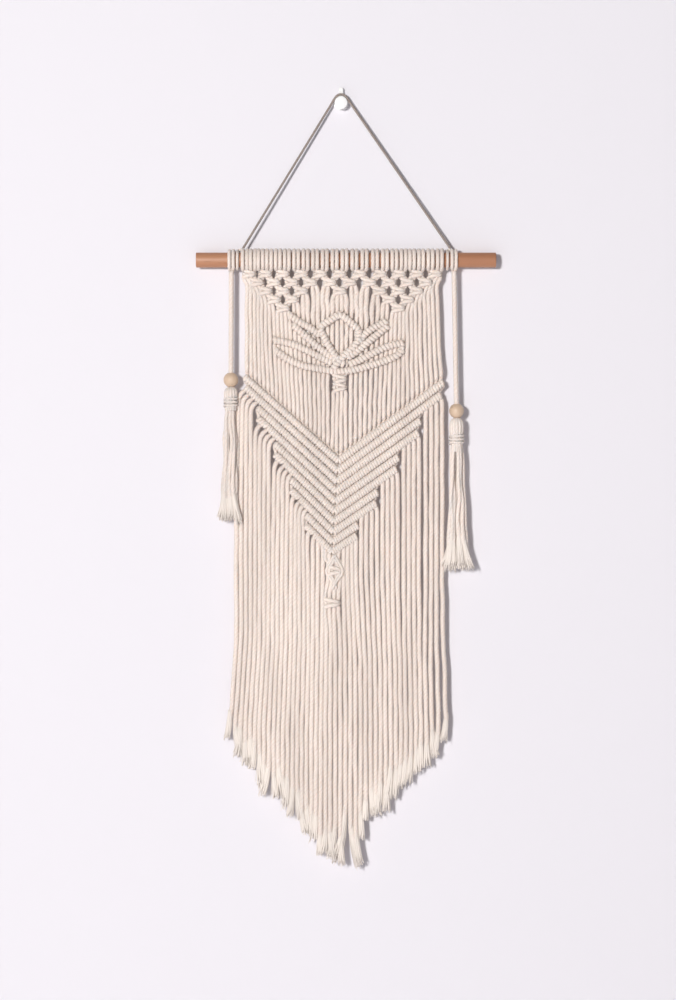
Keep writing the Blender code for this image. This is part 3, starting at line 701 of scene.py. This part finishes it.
class Strand:
    """The way of one of the panel's strands: points (x, y, z, radius) from its cord's middle down."""

    def __init__(self, i, sizes, chance):
        self.i, self.chance = i, chance
        self.arm, self.out = arm_of(i)
        self.step, self.member = divmod(int(STRANDS_A_SIDE - self.out), STRANDS_A_STEP)
        self.radius, self.fray = sizes.strand / MM, sizes.fray / MM
        self.loose = i in LOOSE_STRANDS
        self.behind = []
        self.hitches = self.chevron_hitches()
        self.route = self.heading()
        self.through_net()
        self.behind_lily()
        self.round_chevron()
        self.foot = self.down_fringe()

    def add(self, x, depth, z, radius):
        """A point at a depth behind the panel's middle."""
        self.route.append((x, MIDDLE_Y + depth, z, radius))

    def plain_length(self, x, z, soft=False):
        """A plain length down to a place, with a point every so often."""
        last_x, _, last_z, _ = self.route[-1]
        radius, wander = (SOFT, SOFT_WANDER) if soft else (TIGHT, WANDER)
        steps = int((last_z - z) // (LOOSE_STEP if self.loose else PLAIN_STEP))
        for k in range(1, steps + 1):
            share = k / (steps + 1)
            across = (x - last_x) * share ** (1 if self.behind else 2)
            self.add(
                last_x + across + self.chance.uniform(-wander, wander), self.chance.uniform(-0.5, 0.6),
                last_z + (z - last_z) * share, radius * self.radius,
            )

    def heading(self):
        """One leg of its cord's lark's head on the dowel."""
        first = self.i - self.i % 2
        middle = (strand_shift(first) + strand_shift(first + 1)) / 2
        leg = middle + (HEADING_RADIUS if self.i % 2 else -HEADING_RADIUS)
        return lark_head_leg(leg, middle, HEADING_RADIUS)

    def through_net(self):
        """Through the square knots that it meets."""
        knots, pair = net_knots(), self.i // 2
        row, place = 0, pair - pair % 2
        while (row, place) in knots:
            x, z = knots[row, place]
            self.route += knot_route(self.i - 2 * place, x, z, *KNOT_HALF, KNOT_RADIUS)
            row += 1
            place = pair - (pair - row) % 2

    def behind_lily(self):
        """Out of the net, behind each of the lily's bars, and through the knots below it."""
        shift = strand_shift(self.i)
        top_x, top_z = np.interp(shift, *UNDER_NET) - beside_net(shift), self.route[-1][2] - 7
        foot_x, _, foot_z = chevron_point(self.arm, 0.5, self.out)
        self.behind = lily_crossings((top_x, top_z), (foot_x, foot_z))
        self.add(top_x, 0.2, top_z, (SOFT if self.loose else TIGHT) * self.radius)
        dive = LILY_DIVE
        for k, (low, high) in enumerate(self.behind):
            upper, lower = (
                top_x + (foot_x - top_x) * (top_z - z) / (top_z - foot_z) for z in (high, low)
            )
            if high < self.route[-1][2] - 3:
                self.plain_length(upper, high + dive["clear"], soft=self.loose and k == 0)
                self.add(upper, dive["enter_depth"], high + dive["enter"], TIGHT * self.radius)
            hidden = high - low - 2 * dive["inside"]
            for t in np.linspace(0, 1, max(2, round(hidden / dive["spacing"]))):
                x, z = upper + (lower - upper) * t, high - dive["inside"] - hidden * t
                self.add(x, dive["depth"], z, PRESSED * self.radius)
            self.add(lower, dive["leave_depth"], low - dive["leave"], TIGHT * self.radius)
        if self.i in MIDDLE_STRANDS:
            _, knot_z, _, knot_high = LILY_KNOTS[0]
            self.route = [spot for spot in self.route if spot[2] > knot_z + knot_high + 3]
            for knot in LILY_KNOTS:
                self.route += knot_route(self.i - MIDDLE_STRANDS[0], *knot, LILY_KNOT_RADIUS)

    def chevron_hitches(self):
        """The half hitches on each of the chevron's bars that it crosses, from the top down."""
        arm = self.arm
        steepness = math.hypot(1, arm["slope"])
        way = np.array((arm["side"], 0, arm["slope"])) / steepness
        hitches = []
        for line in range(min(2 * (self.step + 1), CHEVRON_BARS)):
            spacing = (arm["pitch"] + arm["pitch_step"] * line) * steepness
            outermost = self.member == 0 and line // 2 == self.step and line > 1
            more = arm["overhang"] if outermost else 0
            place = chevron_point(arm, line + 0.5, self.out + more / 2)
            hitches.append(bar_hitch(place, way, spacing * (1 + more), arm["wide"]))
        hitches[-1]["outward"] = -1 if more else 1
        return hitches

    def round_chevron(self):
        """Behind the chevron's first bar, and round each bar in turn."""
        x, _, z = self.hitches[0]["centre"]
        self.plain_length(x, z + 12)
        for above, depth, wide in CHEVRON_ENTRY:
            self.add(x, depth, z + above, wide * self.radius)
        for hitch in self.hitches:
            self.route += hitch_route(hitch, self.chance)

    def lower_knots(self):
        """Through the two square knots at the small diamond, straight above and below each."""
        for knot in LOWER_KNOTS:
            through = knot_route(self.i - MIDDLE_STRANDS[0], *knot, LOWER_KNOT_RADIUS)
            self.add(through[0][0], 0.3, through[0][2] + 4.5, LOWER_KNOT_RADIUS + 0.1)
            self.route += through
            self.add(through[-1][0], 0.3, through[-1][2] - 4.5, LOWER_KNOT_RADIUS + 0.1)

    def down_fringe(self):
        """From the last bar down to where it frays. Returns that place with the height of the tips."""
        side, chance = self.arm["side"], self.chance
        even_x = side * np.interp(self.out, FRINGE_OUT, FRINGE_PLACES[side])
        outermost, pitch = FRINGE_GROUPS[side][self.step]
        hang_x = side * (outermost - pitch * self.member)
        tips = -np.interp(even_x, FRINGE_ACROSS, FRINGE_DOWN) + chance.uniform(-FRINGE_UNEVEN, FRINGE_UNEVEN)
        fray = self.fray * chance.uniform(0.8, 1.3)
        if abs(even_x - TIP_ACROSS) < TIP_HALF:
            fray *= TIP_FRAY
        end = tips + fray

        last = self.hitches[-1]
        slid = 0.45 if last["outward"] > 0 else 0.12
        leave = last["centre"] + last["along"] * slid * last["spacing"]
        self.route.pop()
        for share, drop, depth, wide in FRINGE_ENTRY:
            x = leave[0] + (hang_x - leave[0]) * share
            self.add(x, depth, leave[2] - drop, wide * self.radius)

        heights = [leave[2] - FRINGE_FREE]
        while heights[-1] > end + 26:
            heights.append(heights[-1] - chance.uniform(*FRINGE_STEPS))
        heights = [z for z in heights if z > end + 8]
        if self.i in MIDDLE_STRANDS:
            self.lower_knots()
            heights = [z for z in heights if z < LOWER_KNOTS[-1][1] - 12]
        flare = even_x * FRINGE_FLARE[side]
        spread_from = leave[2] - 16 if side < 0 else FRINGE_SPREADS[0]
        for z in heights:
            spread = np.clip((spread_from - z) / FRINGE_SPREADS[1], 0, 1)
            settled = np.clip((FRINGE_SETTLED[0] - z) / FRINGE_SETTLED[1], 0, 1)
            near = hang_x + (even_x - hang_x) * spread
            x = near + (flare - near) * settled + chance.uniform(-0.3, 0.3)
            depth = chance.uniform(-0.8, 0.6) - np.interp(-z, *FRINGE_FORWARD)
            self.add(x, depth, z, self.radius * chance.uniform(1.0, 1.09))
        x, depth = flare + chance.uniform(-0.5, 0.5), -np.interp(-end, *FRINGE_FORWARD)
        self.add(x, depth, end + 2, self.radius)
        self.add(x, depth, end - 3, 0.7 * self.radius)
        return x, MIDDLE_Y + depth, end, tips


def fray_end(yarn, foot, radius, fibres, chance, splay=1.9, aside=0.0):
    """A cord's unravelled end: soft locks that open like a brush, and fine fibres round their tips."""
    x, y, top, tips = foot
    length = top - tips
    tilt = aside + chance.gauss(0, 0.13) * length
    splay *= chance.uniform(0.85, 1.3)
    turn = chance.uniform(0, TAU)
    for k in range(FRAY_LOCKS + fibres):
        lock = k < FRAY_LOCKS
        if lock:
            middle = k == FRAY_LOCKS - 1
            a, out = turn + TAU * k / (FRAY_LOCKS - 1), 0 if middle else LOCKS_OUT
            reach = length * chance.uniform(0.82, 1.03)
        else:
            a, out = chance.uniform(0, TAU), math.sqrt(chance.uniform(0.15, 1))
            reach = length * chance.uniform(0.8, 1.08)
        across, deep = out * math.cos(a), out * math.sin(a)
        bend = chance.uniform(-0.6, 0.6)
        above = LOCK_ROOT if lock else FIBRE_ROOT
        path = []
        for t in np.linspace(0, 1, 8 if lock else 6):
            opened = FRAY_CLOSED + (splay - FRAY_CLOSED) * t**FRAY_OPENS
            wave = bend * math.sin(2.6 * t + a)
            thick = radius * (0.42 + 0.12 * math.sin(math.pi * t) - 0.24 * t**3) if lock else 0.5 - 0.25 * t
            path.append((
                x + radius * across * opened + wave * t + tilt * t**1.6,
                y + radius * 0.75 * deep * opened + 0.5 * wave,
                top + above - (reach + above) * t,
                thick,
            ))
        yarn.lay(np.array(path), LOCK if lock else FIBRE, lay=NO_TWIST)


# Pieces


def cord_pieces(sizes, colours):
    """The strands and the ends of the whole panel."""
    finish = cotton("cotton_cord", colours.cotton, colours.cotton_shade)
    loose = cotton("cotton_loose", colours.brush, colours.cotton, 0)
    groups = (
        ("strands_left_outer", range(0, 12)),
        ("strands_left_inner", range(12, 22)),
        ("strands_right_inner", range(22, 32)),
        ("strands_right_outer", range(32, 44)),
    )
    ends = Yarn()
    for name, members in groups:
        yarn = Yarn()
        for i in members:
            chance = random.Random(sizes.seed * 100 + i)
            strand = Strand(i, sizes, chance)
            path = smooth_path(strand.route, sizes.ring / MM)
            beat = np.arange(len(path))
            for pace in UNEVEN_PACES:
                path[:, 3] *= 1 + UNEVEN_SHARE * np.sin(pace * beat + chance.uniform(0, TAU))
            yarn.lay(path, lay=sizes.lay / MM, turn=chance.uniform(0, TAU))
            fray_end(ends, strand.foot, strand.radius, sizes.fibres, chance)
        yarn.piece(name, finish, "macrame_panel", "macrame_panel")
    ends.piece("frayed_ends", loose, "macrame_panel", "macrame_panel")


def core_piece(sizes):
    """The cords inside the bars, the lily's turns, and the small diamond."""
    yarn = Yarn()
    for line in range(CHEVRON_BARS):
        width = STRANDS_A_SIDE - STRANDS_A_STEP * (line // 2) + 0.15
        halves = []
        for arm in ARMS:
            overhang = arm["overhang"] if line > 1 else 0
            outs = np.linspace(width + overhang, 0.6, 12)
            halves.append([(*chevron_point(arm, line + 0.5, out), CORE_RADIUS) for out in outs])
        middle = (*chevron_point(ARMS[1], line + 0.45, 0), CORE_RADIUS)
        yarn.lay(smooth_path([*halves[0], middle, *halves[1][::-1]], step=4), ROUND_CORE)
    for name in LILY_BARS:
        line = lily_line(name)
        yarn.lay(line, ROUND_CORE)
        yarn.lay(coil_round(line, LILY_REACH, LILY_PITCH, LILY_TURN), lay=sizes.lay / MM)
    for edge in diamond_edges():
        yarn.lay(smooth_path(edge, step=1.1), lay=sizes.lay / MM)
    yarn.piece("bar_cores", bpy.data.materials["cotton_cord"], "macrame_panel", "macrame_panel")


def diamond_edges():
    """Two cords side by side down the left and the right of the small diamond."""
    radius, front = DIAMOND["radius"], MIDDLE_Y - DIAMOND["front"]
    edges = []
    for apart in (-0.85, 0.85):
        wide, tall = DIAMOND["half_width"] + apart * radius, DIAMOND["half_height"] + apart * radius
        for side in (-1, 1):
            corners = ((-0.45 * side, tall), (wide * side, 0), (-0.3 * wide * side, -1.05 * tall))
            edge = []
            for (x0, z0), (x1, z1) in zip(corners, corners[1:]):
                for t in (0.06, 0.5, 0.9):
                    x, z = x0 + (x1 - x0) * t, z0 + (z1 - z0) * t
                    over = 0.5 * side * (z < 0)  # the right edge crosses in front at the foot
                    edge.append((DIAMOND["x"] + x, front - over, DIAMOND["z"] + z, radius))
            edge.append((edge[-1][0], MIDDLE_Y + 0.5, edge[-1][2] - 3, radius))
            edges.append(edge)
    return edges


def dowel_piece(colours):
    """The round rod with its ends rounded off."""
    left, length = DOWEL_LOW[0], (DOWEL_HIGH - DOWEL_LOW)[0]
    flat = DOWEL_RADIUS - DOWEL_ROUNDING
    profile = [(0, 0.4 * DOWEL_RADIUS), (0, 0.8 * DOWEL_RADIUS), (0, flat)]
    profile += [
        (DOWEL_ROUNDING * (1 - math.cos(a)), flat + DOWEL_ROUNDING * math.sin(a)) for a in (0.4, 0.8, 1.2)
    ]
    profile.append((DOWEL_ROUNDING, DOWEL_RADIUS))
    profile += [(length - along, wide) for along, wide in profile[::-1]]
    mesh = solid_mesh("dowel_rod", [turned(profile, (1, 0, 0), (left, MIDDLE_Y, AXIS_Z), 72)])
    finish = wood("stained_wood", colours.dowel, colours.dowel_grain, (0.12, 1, 1), 0.5)
    hang(mesh, "dowel_rod", finish, "dowel", "dowel")


def hook_piece(colours):
    """The hook's plate, stem, peg and plain button, all in one moulding."""
    out = (0, -1, 0)
    thick, rounding = HOOK_BUTTON["thick"], HOOK_BUTTON["rounding"]
    wide, deep = HOOK["plate"], HOOK["plate_thick"]
    plate = [(0, wide), *((deep - back, wide - inward) for back, inward in PLATE_EDGE)]
    peg = [(1, HOOK_PEG["radius"]), (HOOK_BUTTON["near"] + rounding, HOOK_PEG["radius"])]
    button = [
        (rounding * (1 - math.cos(a)), HOOK_BUTTON["radius"] - rounding * (1 - math.sin(a)))
        for a in (0.0, 0.4, 0.8, 1.2, math.pi / 2)
    ]
    button += [(thick - along, wide) for along, wide in button[::-1]]
    solids = [
        turned(plate, out, (0, 0, 0)),
        turned(peg, out, (0, 0, HOOK_PEG["rise"])),
        turned(button, out, (0, -HOOK_BUTTON["near"], -HOOK_BUTTON["drop"])),
        hook_stem(),
    ]
    finish = white_moulding("white_moulding", colours.hook)
    hang(solid_mesh("hook", solids), "hook", finish, "wall_hook", "wall_hook")


def hook_stem():
    """The upright above the peg, round at its top and narrower at its face."""
    half = HOOK["stem"] / 2
    outline = [(-half, 0), (half, 0)]
    outline += [
        (half * math.cos(a), HOOK["rise"] - half + half * math.sin(a))
        for a in np.linspace(0, math.pi, 17)
    ]
    front, foot = -HOOK["stem_out"], 4
    layers = ((-1, 1, 1), (front + 0.5, 1, 1), (front, 0.8, 0.984))
    points = [
        Vector((x * wide, y, foot + (z - foot) * tall)) * MM
        for y, wide, tall in layers
        for x, z in outline
    ]
    count = len(outline)
    faces = [
        (row + k, row + count + k, row + count + (k + 1) % count, row + (k + 1) % count)
        for row in (0, count)
        for k in range(count)
    ]
    faces.append(tuple(range(count)))
    faces.append(tuple(reversed(range(2 * count, 3 * count))))
    return points, faces


def hanger_route():
    """The hanging cord's middle line from its left foot, over the hook's peg, to its right foot."""
    over = [
        (HANGER_BEND * math.cos(a), -HANGER_OUT, HOOK_PEG["rise"] + HANGER_BEND * math.sin(a))
        for a in np.radians(range(150, 29, -15))
    ]
    left, right = (np.array((x, MIDDLE_Y, z)) for x, z in HANGER_FEET)
    shares = [k / HANGER_STEPS for k in range(HANGER_STEPS + 1)]
    climb = [left + (np.array(over[0]) - left) * share for share in shares[:-1]]
    fall = [np.array(over[-1]) + (right - over[-1]) * share for share in shares[1:]]
    return np.array([*climb, *over, *fall])


def hanger_piece(colours):
    """The thin cord over the hook, and its turns round the dowel."""
    finish = cotton("cotton_thin", colours.thin, colours.cotton_shade)
    line = hanger_route()
    path = smooth_path(np.column_stack([line, np.full(len(line), HANGER_RADIUS)]), step=1.3)
    yarn = Yarn()
    yarn.lay(path, lay=HANGER_LAY)
    piece = yarn.piece("hanging_cord", finish, "hanger_cord", "hanger_cord")
    for (name, x), (foot, _) in zip(TIES.items(), HANGER_FEET):
        node = "hanger_tie_" + name
        turn = [around_dowel(x, degrees, TIE_REACH, TIE_RADIUS) for degrees in TIE_TURN]
        link = [
            around_dowel(x + (foot - x) * share, degrees, DOWEL_RADIUS + off, LINK_RADIUS)
            for share, degrees, off in LINK
        ]
        yarn = Yarn()
        yarn.lay(smooth_path(turn, step=1.4), lay=HANGER_LAY)
        yarn.lay(smooth_path(link, step=1.0), lay=HANGER_LAY)
        yarn.piece("tie_" + name, bpy.data.materials["cotton_cord"], node, node)


def side_pieces(side, sizes, colours):
    """A side cord with its knot on the dowel, its bead and its tassel."""
    name = side["name"]
    chance = random.Random(sizes.seed + len(name))
    finish = bpy.data.materials["cotton_cord"]
    side_loop(side, finish)
    bead_x, bead_z = side["bead"]
    top = np.array((side["loop"], SIDE_Y, SIDE_TOP))
    foot = np.array((bead_x, SIDE_Y, bead_z - BEAD_HEIGHT / 2))
    line = [(*(top + (foot - top) * t), SIDE_RADIUS) for t in np.linspace(0, 1, 12)]
    path = smooth_path(line, step=1.6)
    cord = Yarn()
    cord.lay(path, lay=SIDE_LAY)
    piece = cord.piece("cord_" + name, finish, "side_cord_" + name, "side_cord_" + name)
    bead = bead_piece(side, colours)
    head = tassel_head(side, finish)
    tassel_skirt(side, finish, chance)


def side_loop(side, finish):
    """A side cord's lark's head on the dowel."""
    loops = Yarn()
    middle = side["loop"]
    for turn in (-1, 1):
        route = lark_head_leg(middle + SIDE_LOOP["apart"] * turn, middle, SIDE_LOOP["radius"])
        route += [
            (middle + apart * turn, SIDE_Y + depth, AXIS_Z - drop, radius)
            for apart, depth, drop, radius in SIDE_LOOP_ENDS
        ]
        loops.lay(smooth_path(route, step=1.4), turn=turn)
    node = "side_loop_" + side["name"]
    loops.piece("loop_" + side["name"], finish, node, node)


def bead_piece(side, colours):
    """A turned bead with a rounded bore, which its cord fills."""
    x, z = side["bead"]
    edge = math.asin(BEAD_BORE / BEAD_RADIUS)
    half = BEAD_HEIGHT / 2
    profile = [
        (half * (1 - math.sin(a) / math.cos(edge)), BEAD_RADIUS * math.cos(a))
        for a in np.linspace(math.pi / 2 - edge, edge - math.pi / 2, 25)
    ]
    lip = [(0.5, BEAD_BORE - 0.25), (0.12, BEAD_BORE - 0.1)]
    profile = lip + profile + [(BEAD_HEIGHT - along, wide) for along, wide in lip[::-1]]
    points, faces = turned(profile, (0, 0, -1), (x, SIDE_Y, z + half), 56)
    name, node = "wooden_bead_" + side["name"], "bead_" + side["name"]
    mesh = solid_mesh(name, [(points, faces[:-2])])
    finish = wood("pale_wood_" + side["name"], colours.bead, scaled(colours.bead, 0.72), (1, 1, 0.2), 0.45)
    return hang(mesh, name, finish, node, node)


def under_bead(side):
    """The top of a tassel."""
    x, z = side["bead"]
    return x, z - BEAD_HEIGHT / 2 - 0.3


def tassel_turn(k):
    """Strand k's direction round a tassel. Every third strand is an inner one."""
    return TAU * k * 0.382 if k % 3 == 0 else TAU * k / TASSEL_STRANDS


def tassel_head(side, finish):
    """Loops of cord that cover the knot, bound together at the neck."""
    x, z = under_bead(side)
    head, wide = side["head"], side["wide"]
    neck = TASSEL_NECK * head
    loop = ((0.15, -1.2), (0.6, -2.5), (0.84, -6), (0.84, -0.5 * neck), (0.68, -neck), (0.66, -head))
    crown = Yarn()
    for k in range(TASSEL_LOOPS):
        a = TAU * k / TASSEL_LOOPS
        path = [
            (x + wide * out * math.cos(a), SIDE_Y + wide * out * math.sin(a), z + low, TASSEL_RADIUS)
            for out, low in loop
        ]
        crown.lay(smooth_path(path, step=1.7), turn=tassel_turn(k))
    high = BINDING["high"]
    spine = np.array([(x, SIDE_Y, z - neck + high * (0.5 - t), 1.0) for t in np.linspace(0, 1, 9)])
    crown.lay(coil_round(spine, 0.66 * wide + 1.9, high / BINDING["turns"], BINDING["radius"]))
    node = "tassel_" + side["name"]
    return crown.piece("tassel_head_" + side["name"], finish, node, node)


def tassel_skirt(side, finish, chance):
    """A tassel's hanging strands and their frayed ends."""
    x, z = under_bead(side)
    neck = TASSEL_NECK * side["head"]
    skirt, ends = Yarn(), Yarn()
    for k in range(TASSEL_STRANDS):
        a = tassel_turn(k)
        across, deep = math.cos(a), math.sin(a)
        head_share, spread_share = TASSEL_RINGS["inner" if k % 3 == 0 else "outer"]
        reach, flare = side["wide"] * head_share, side["spread"] * spread_share
        down = side["length"] - chance.uniform(*TASSEL_CUT)
        end = z - down + chance.uniform(*TASSEL_FRAY)
        root = (x + reach * across, SIDE_Y + reach * deep, z - neck, 1.8)
        foot_x = x + flare * across + side["lean"]
        foot_y = SIDE_Y - 1.5 + 0.35 * flare * deep
        route = [root]
        for t in (0.2, 0.4, 0.6, 0.8):
            route.append((
                root[0] + (foot_x - root[0]) * t**0.9 + chance.uniform(-1.3, 1.3),
                root[1] + (foot_y - root[1]) * t + chance.uniform(-1.2, 1.2),
                root[2] + (end - root[2]) * t,
                TASSEL_RADIUS,
            ))
        route += [(foot_x, foot_y, end, 2.3), (foot_x, foot_y, end - 3, 1.5)]
        skirt.lay(smooth_path(route, step=1.9), turn=a, lay=TASSEL_LAY)
        aside = side["brush"] * across + 0.5 * side["lean"]
        fray_end(ends, (foot_x, foot_y, end, z - down), 2.4, 10, chance, 1.7, aside)
    node = "tassel_" + side["name"]
    skirt.piece("tassel_strands_" + side["name"], finish, node, node)
    ends.piece("tassel_ends_" + side["name"], bpy.data.materials["cotton_loose"], node, node)


# Stage


def make_wall(scene):
    """A wall that bends into the floor, in one sheet."""
    gap, floor, bend, wide = (WALL[name] for name in ("gap", "floor", "bend", "half_width"))
    outline = [(gap, WALL["top"]), (gap, floor + bend)]
    outline += [
        (gap - bend * (1 - math.cos(a)), floor + bend * (1 - math.sin(a)))
        for a in np.linspace(0.2, math.pi / 2, 8)
    ]
    outline.append((-WALL["deep"], floor))
    points = [(x, y, z) for y, z in outline for x in (-wide, wide)]
    faces = [(2 * k + 1, 2 * k, 2 * k + 2, 2 * k + 3) for k in range(len(outline) - 1)]
    mesh = bpy.data.meshes.new("wall_and_floor")
    mesh.from_pydata(points, [], faces)
    mesh.update()
    if mesh.polygons[0].normal.y > 0:
        mesh.flip_normals()
    mesh.shade_smooth()
    mesh.materials.append(wall_paint(scene.hanging_colours.wall))
    wall = bpy.data.objects.new("wall_and_floor", mesh)
    scene.collection.objects.link(wall)
    wall.visible_shadow = False  # the lamp behind it shows the back


def make_lights(scene):
    """The lamps and the soft light all round."""
    for lamp in LAMPS:
        data = bpy.data.lights.new(lamp["name"], "AREA")
        data.shape = "RECTANGLE"
        data.size = lamp["size"]
        data.size_y = lamp["size"]
        data.energy = lamp["power"]
        data.color = lamp["colour"]
        made = bpy.data.objects.new(lamp["name"], data)
        scene.collection.objects.link(made)
        made.location = lamp["place"]
        aim = Vector(STAGE_MIDDLE) - Vector(lamp["place"])
        made.rotation_euler = aim.to_track_quat("-Z", "Y").to_euler()
        made.visible_camera = False
    world = bpy.data.worlds.new("studio")
    scene.world = world
    world.use_nodes = True
    background = world.node_tree.nodes["Background"]
    background.inputs["Color"].default_value = SKY
    background.inputs["Strength"].default_value = SKY_STRENGTH
    scene.view_settings.view_transform = "Standard"
    scene.view_settings.look = "None"


def make_camera(scene):
    """The camera, straight in front."""
    camera = bpy.data.cameras.new("camera")
    camera.lens = CAMERA_LENS
    camera.clip_end = 50
    made = bpy.data.objects.new("camera", camera)
    scene.collection.objects.link(made)
    made.location = CAMERA_PLACE
    made.rotation_euler = (math.pi / 2, 0, 0)
    scene.camera = made


# Operators and the sidebar's panel


class HANGING_OT_stage(bpy.types.Operator):
    """Set up the wall, the lights and the camera"""

    bl_idname = "hanging.stage"
    bl_label = "Stage"

    def execute(self, context):
        make_wall(context.scene)
        make_lights(context.scene)
        make_camera(context.scene)
        return {"FINISHED"}


class HANGING_OT_strands(bpy.types.Operator):
    """Lay the 44 strands through the heading, net, lily and chevron to their frayed ends"""

    bl_idname = "hanging.strands"
    bl_label = "Strands"

    def execute(self, context):
        cord_pieces(context.scene.hanging_cords, context.scene.hanging_colours)
        core_piece(context.scene.hanging_cords)
        return {"FINISHED"}


class HANGING_OT_dowel(bpy.types.Operator):
    """Turn the dowel"""

    bl_idname = "hanging.dowel"
    bl_label = "Dowel"

    def execute(self, context):
        dowel_piece(context.scene.hanging_colours)
        return {"FINISHED"}


class HANGING_OT_hook(bpy.types.Operator):
    """Mould the wall hook"""

    bl_idname = "hanging.hook"
    bl_label = "Wall hook"

    def execute(self, context):
        hook_piece(context.scene.hanging_colours)
        return {"FINISHED"}


class HANGING_OT_hanger(bpy.types.Operator):
    """Tie the hanging cord to the dowel and lay it over the hook"""

    bl_idname = "hanging.hanger"
    bl_label = "Hanging cord"

    def execute(self, context):
        hanger_piece(context.scene.hanging_colours)
        return {"FINISHED"}


class HANGING_OT_sides(bpy.types.Operator):
    """Hang the side cords with their beads and tassels"""

    bl_idname = "hanging.sides"
    bl_label = "Side cords"

    def execute(self, context):
        for side in SIDES:
            side_pieces(side, context.scene.hanging_cords, context.scene.hanging_colours)
        return {"FINISHED"}


STEPS = (
    HANGING_OT_stage,
    HANGING_OT_strands,
    HANGING_OT_dowel,
    HANGING_OT_hook,
    HANGING_OT_hanger,
    HANGING_OT_sides,
)


class HANGING_PT_pieces(bpy.types.Panel):
    """Lists the steps that make the hanging"""

    bl_label = "Wall hanging"
    bl_idname = "HANGING_PT_pieces"
    bl_space_type = "VIEW_3D"
    bl_region_type = "UI"
    bl_category = "Wall hanging"

    def draw(self, context):
        for step in STEPS:
            self.layout.operator(step.bl_idname)
        for group in (context.scene.hanging_cords, context.scene.hanging_colours):
            box = self.layout.box()
            for name in group.__annotations__:
                box.prop(group, name)


CLASSES = (CordSizes, Colours, *STEPS, HANGING_PT_pieces)


def register():
    """Adds the sizes, the colours, the operators and the panel."""
    for made in CLASSES:
        bpy.utils.register_class(made)
    bpy.types.Scene.hanging_cords = PointerProperty(type=CordSizes)
    bpy.types.Scene.hanging_colours = PointerProperty(type=Colours)


def unregister():
    """Takes them out again."""
    del bpy.types.Scene.hanging_cords
    del bpy.types.Scene.hanging_colours
    for made in reversed(CLASSES):
        bpy.utils.unregister_class(made)


def main():
    """Makes the whole hanging on its stage."""
    register()
    bpy.ops.hanging.stage()
    bpy.ops.hanging.strands()
    bpy.ops.hanging.dowel()
    bpy.ops.hanging.hook()
    bpy.ops.hanging.hanger()
    bpy.ops.hanging.sides()


if __name__ == "__main__":
    main()
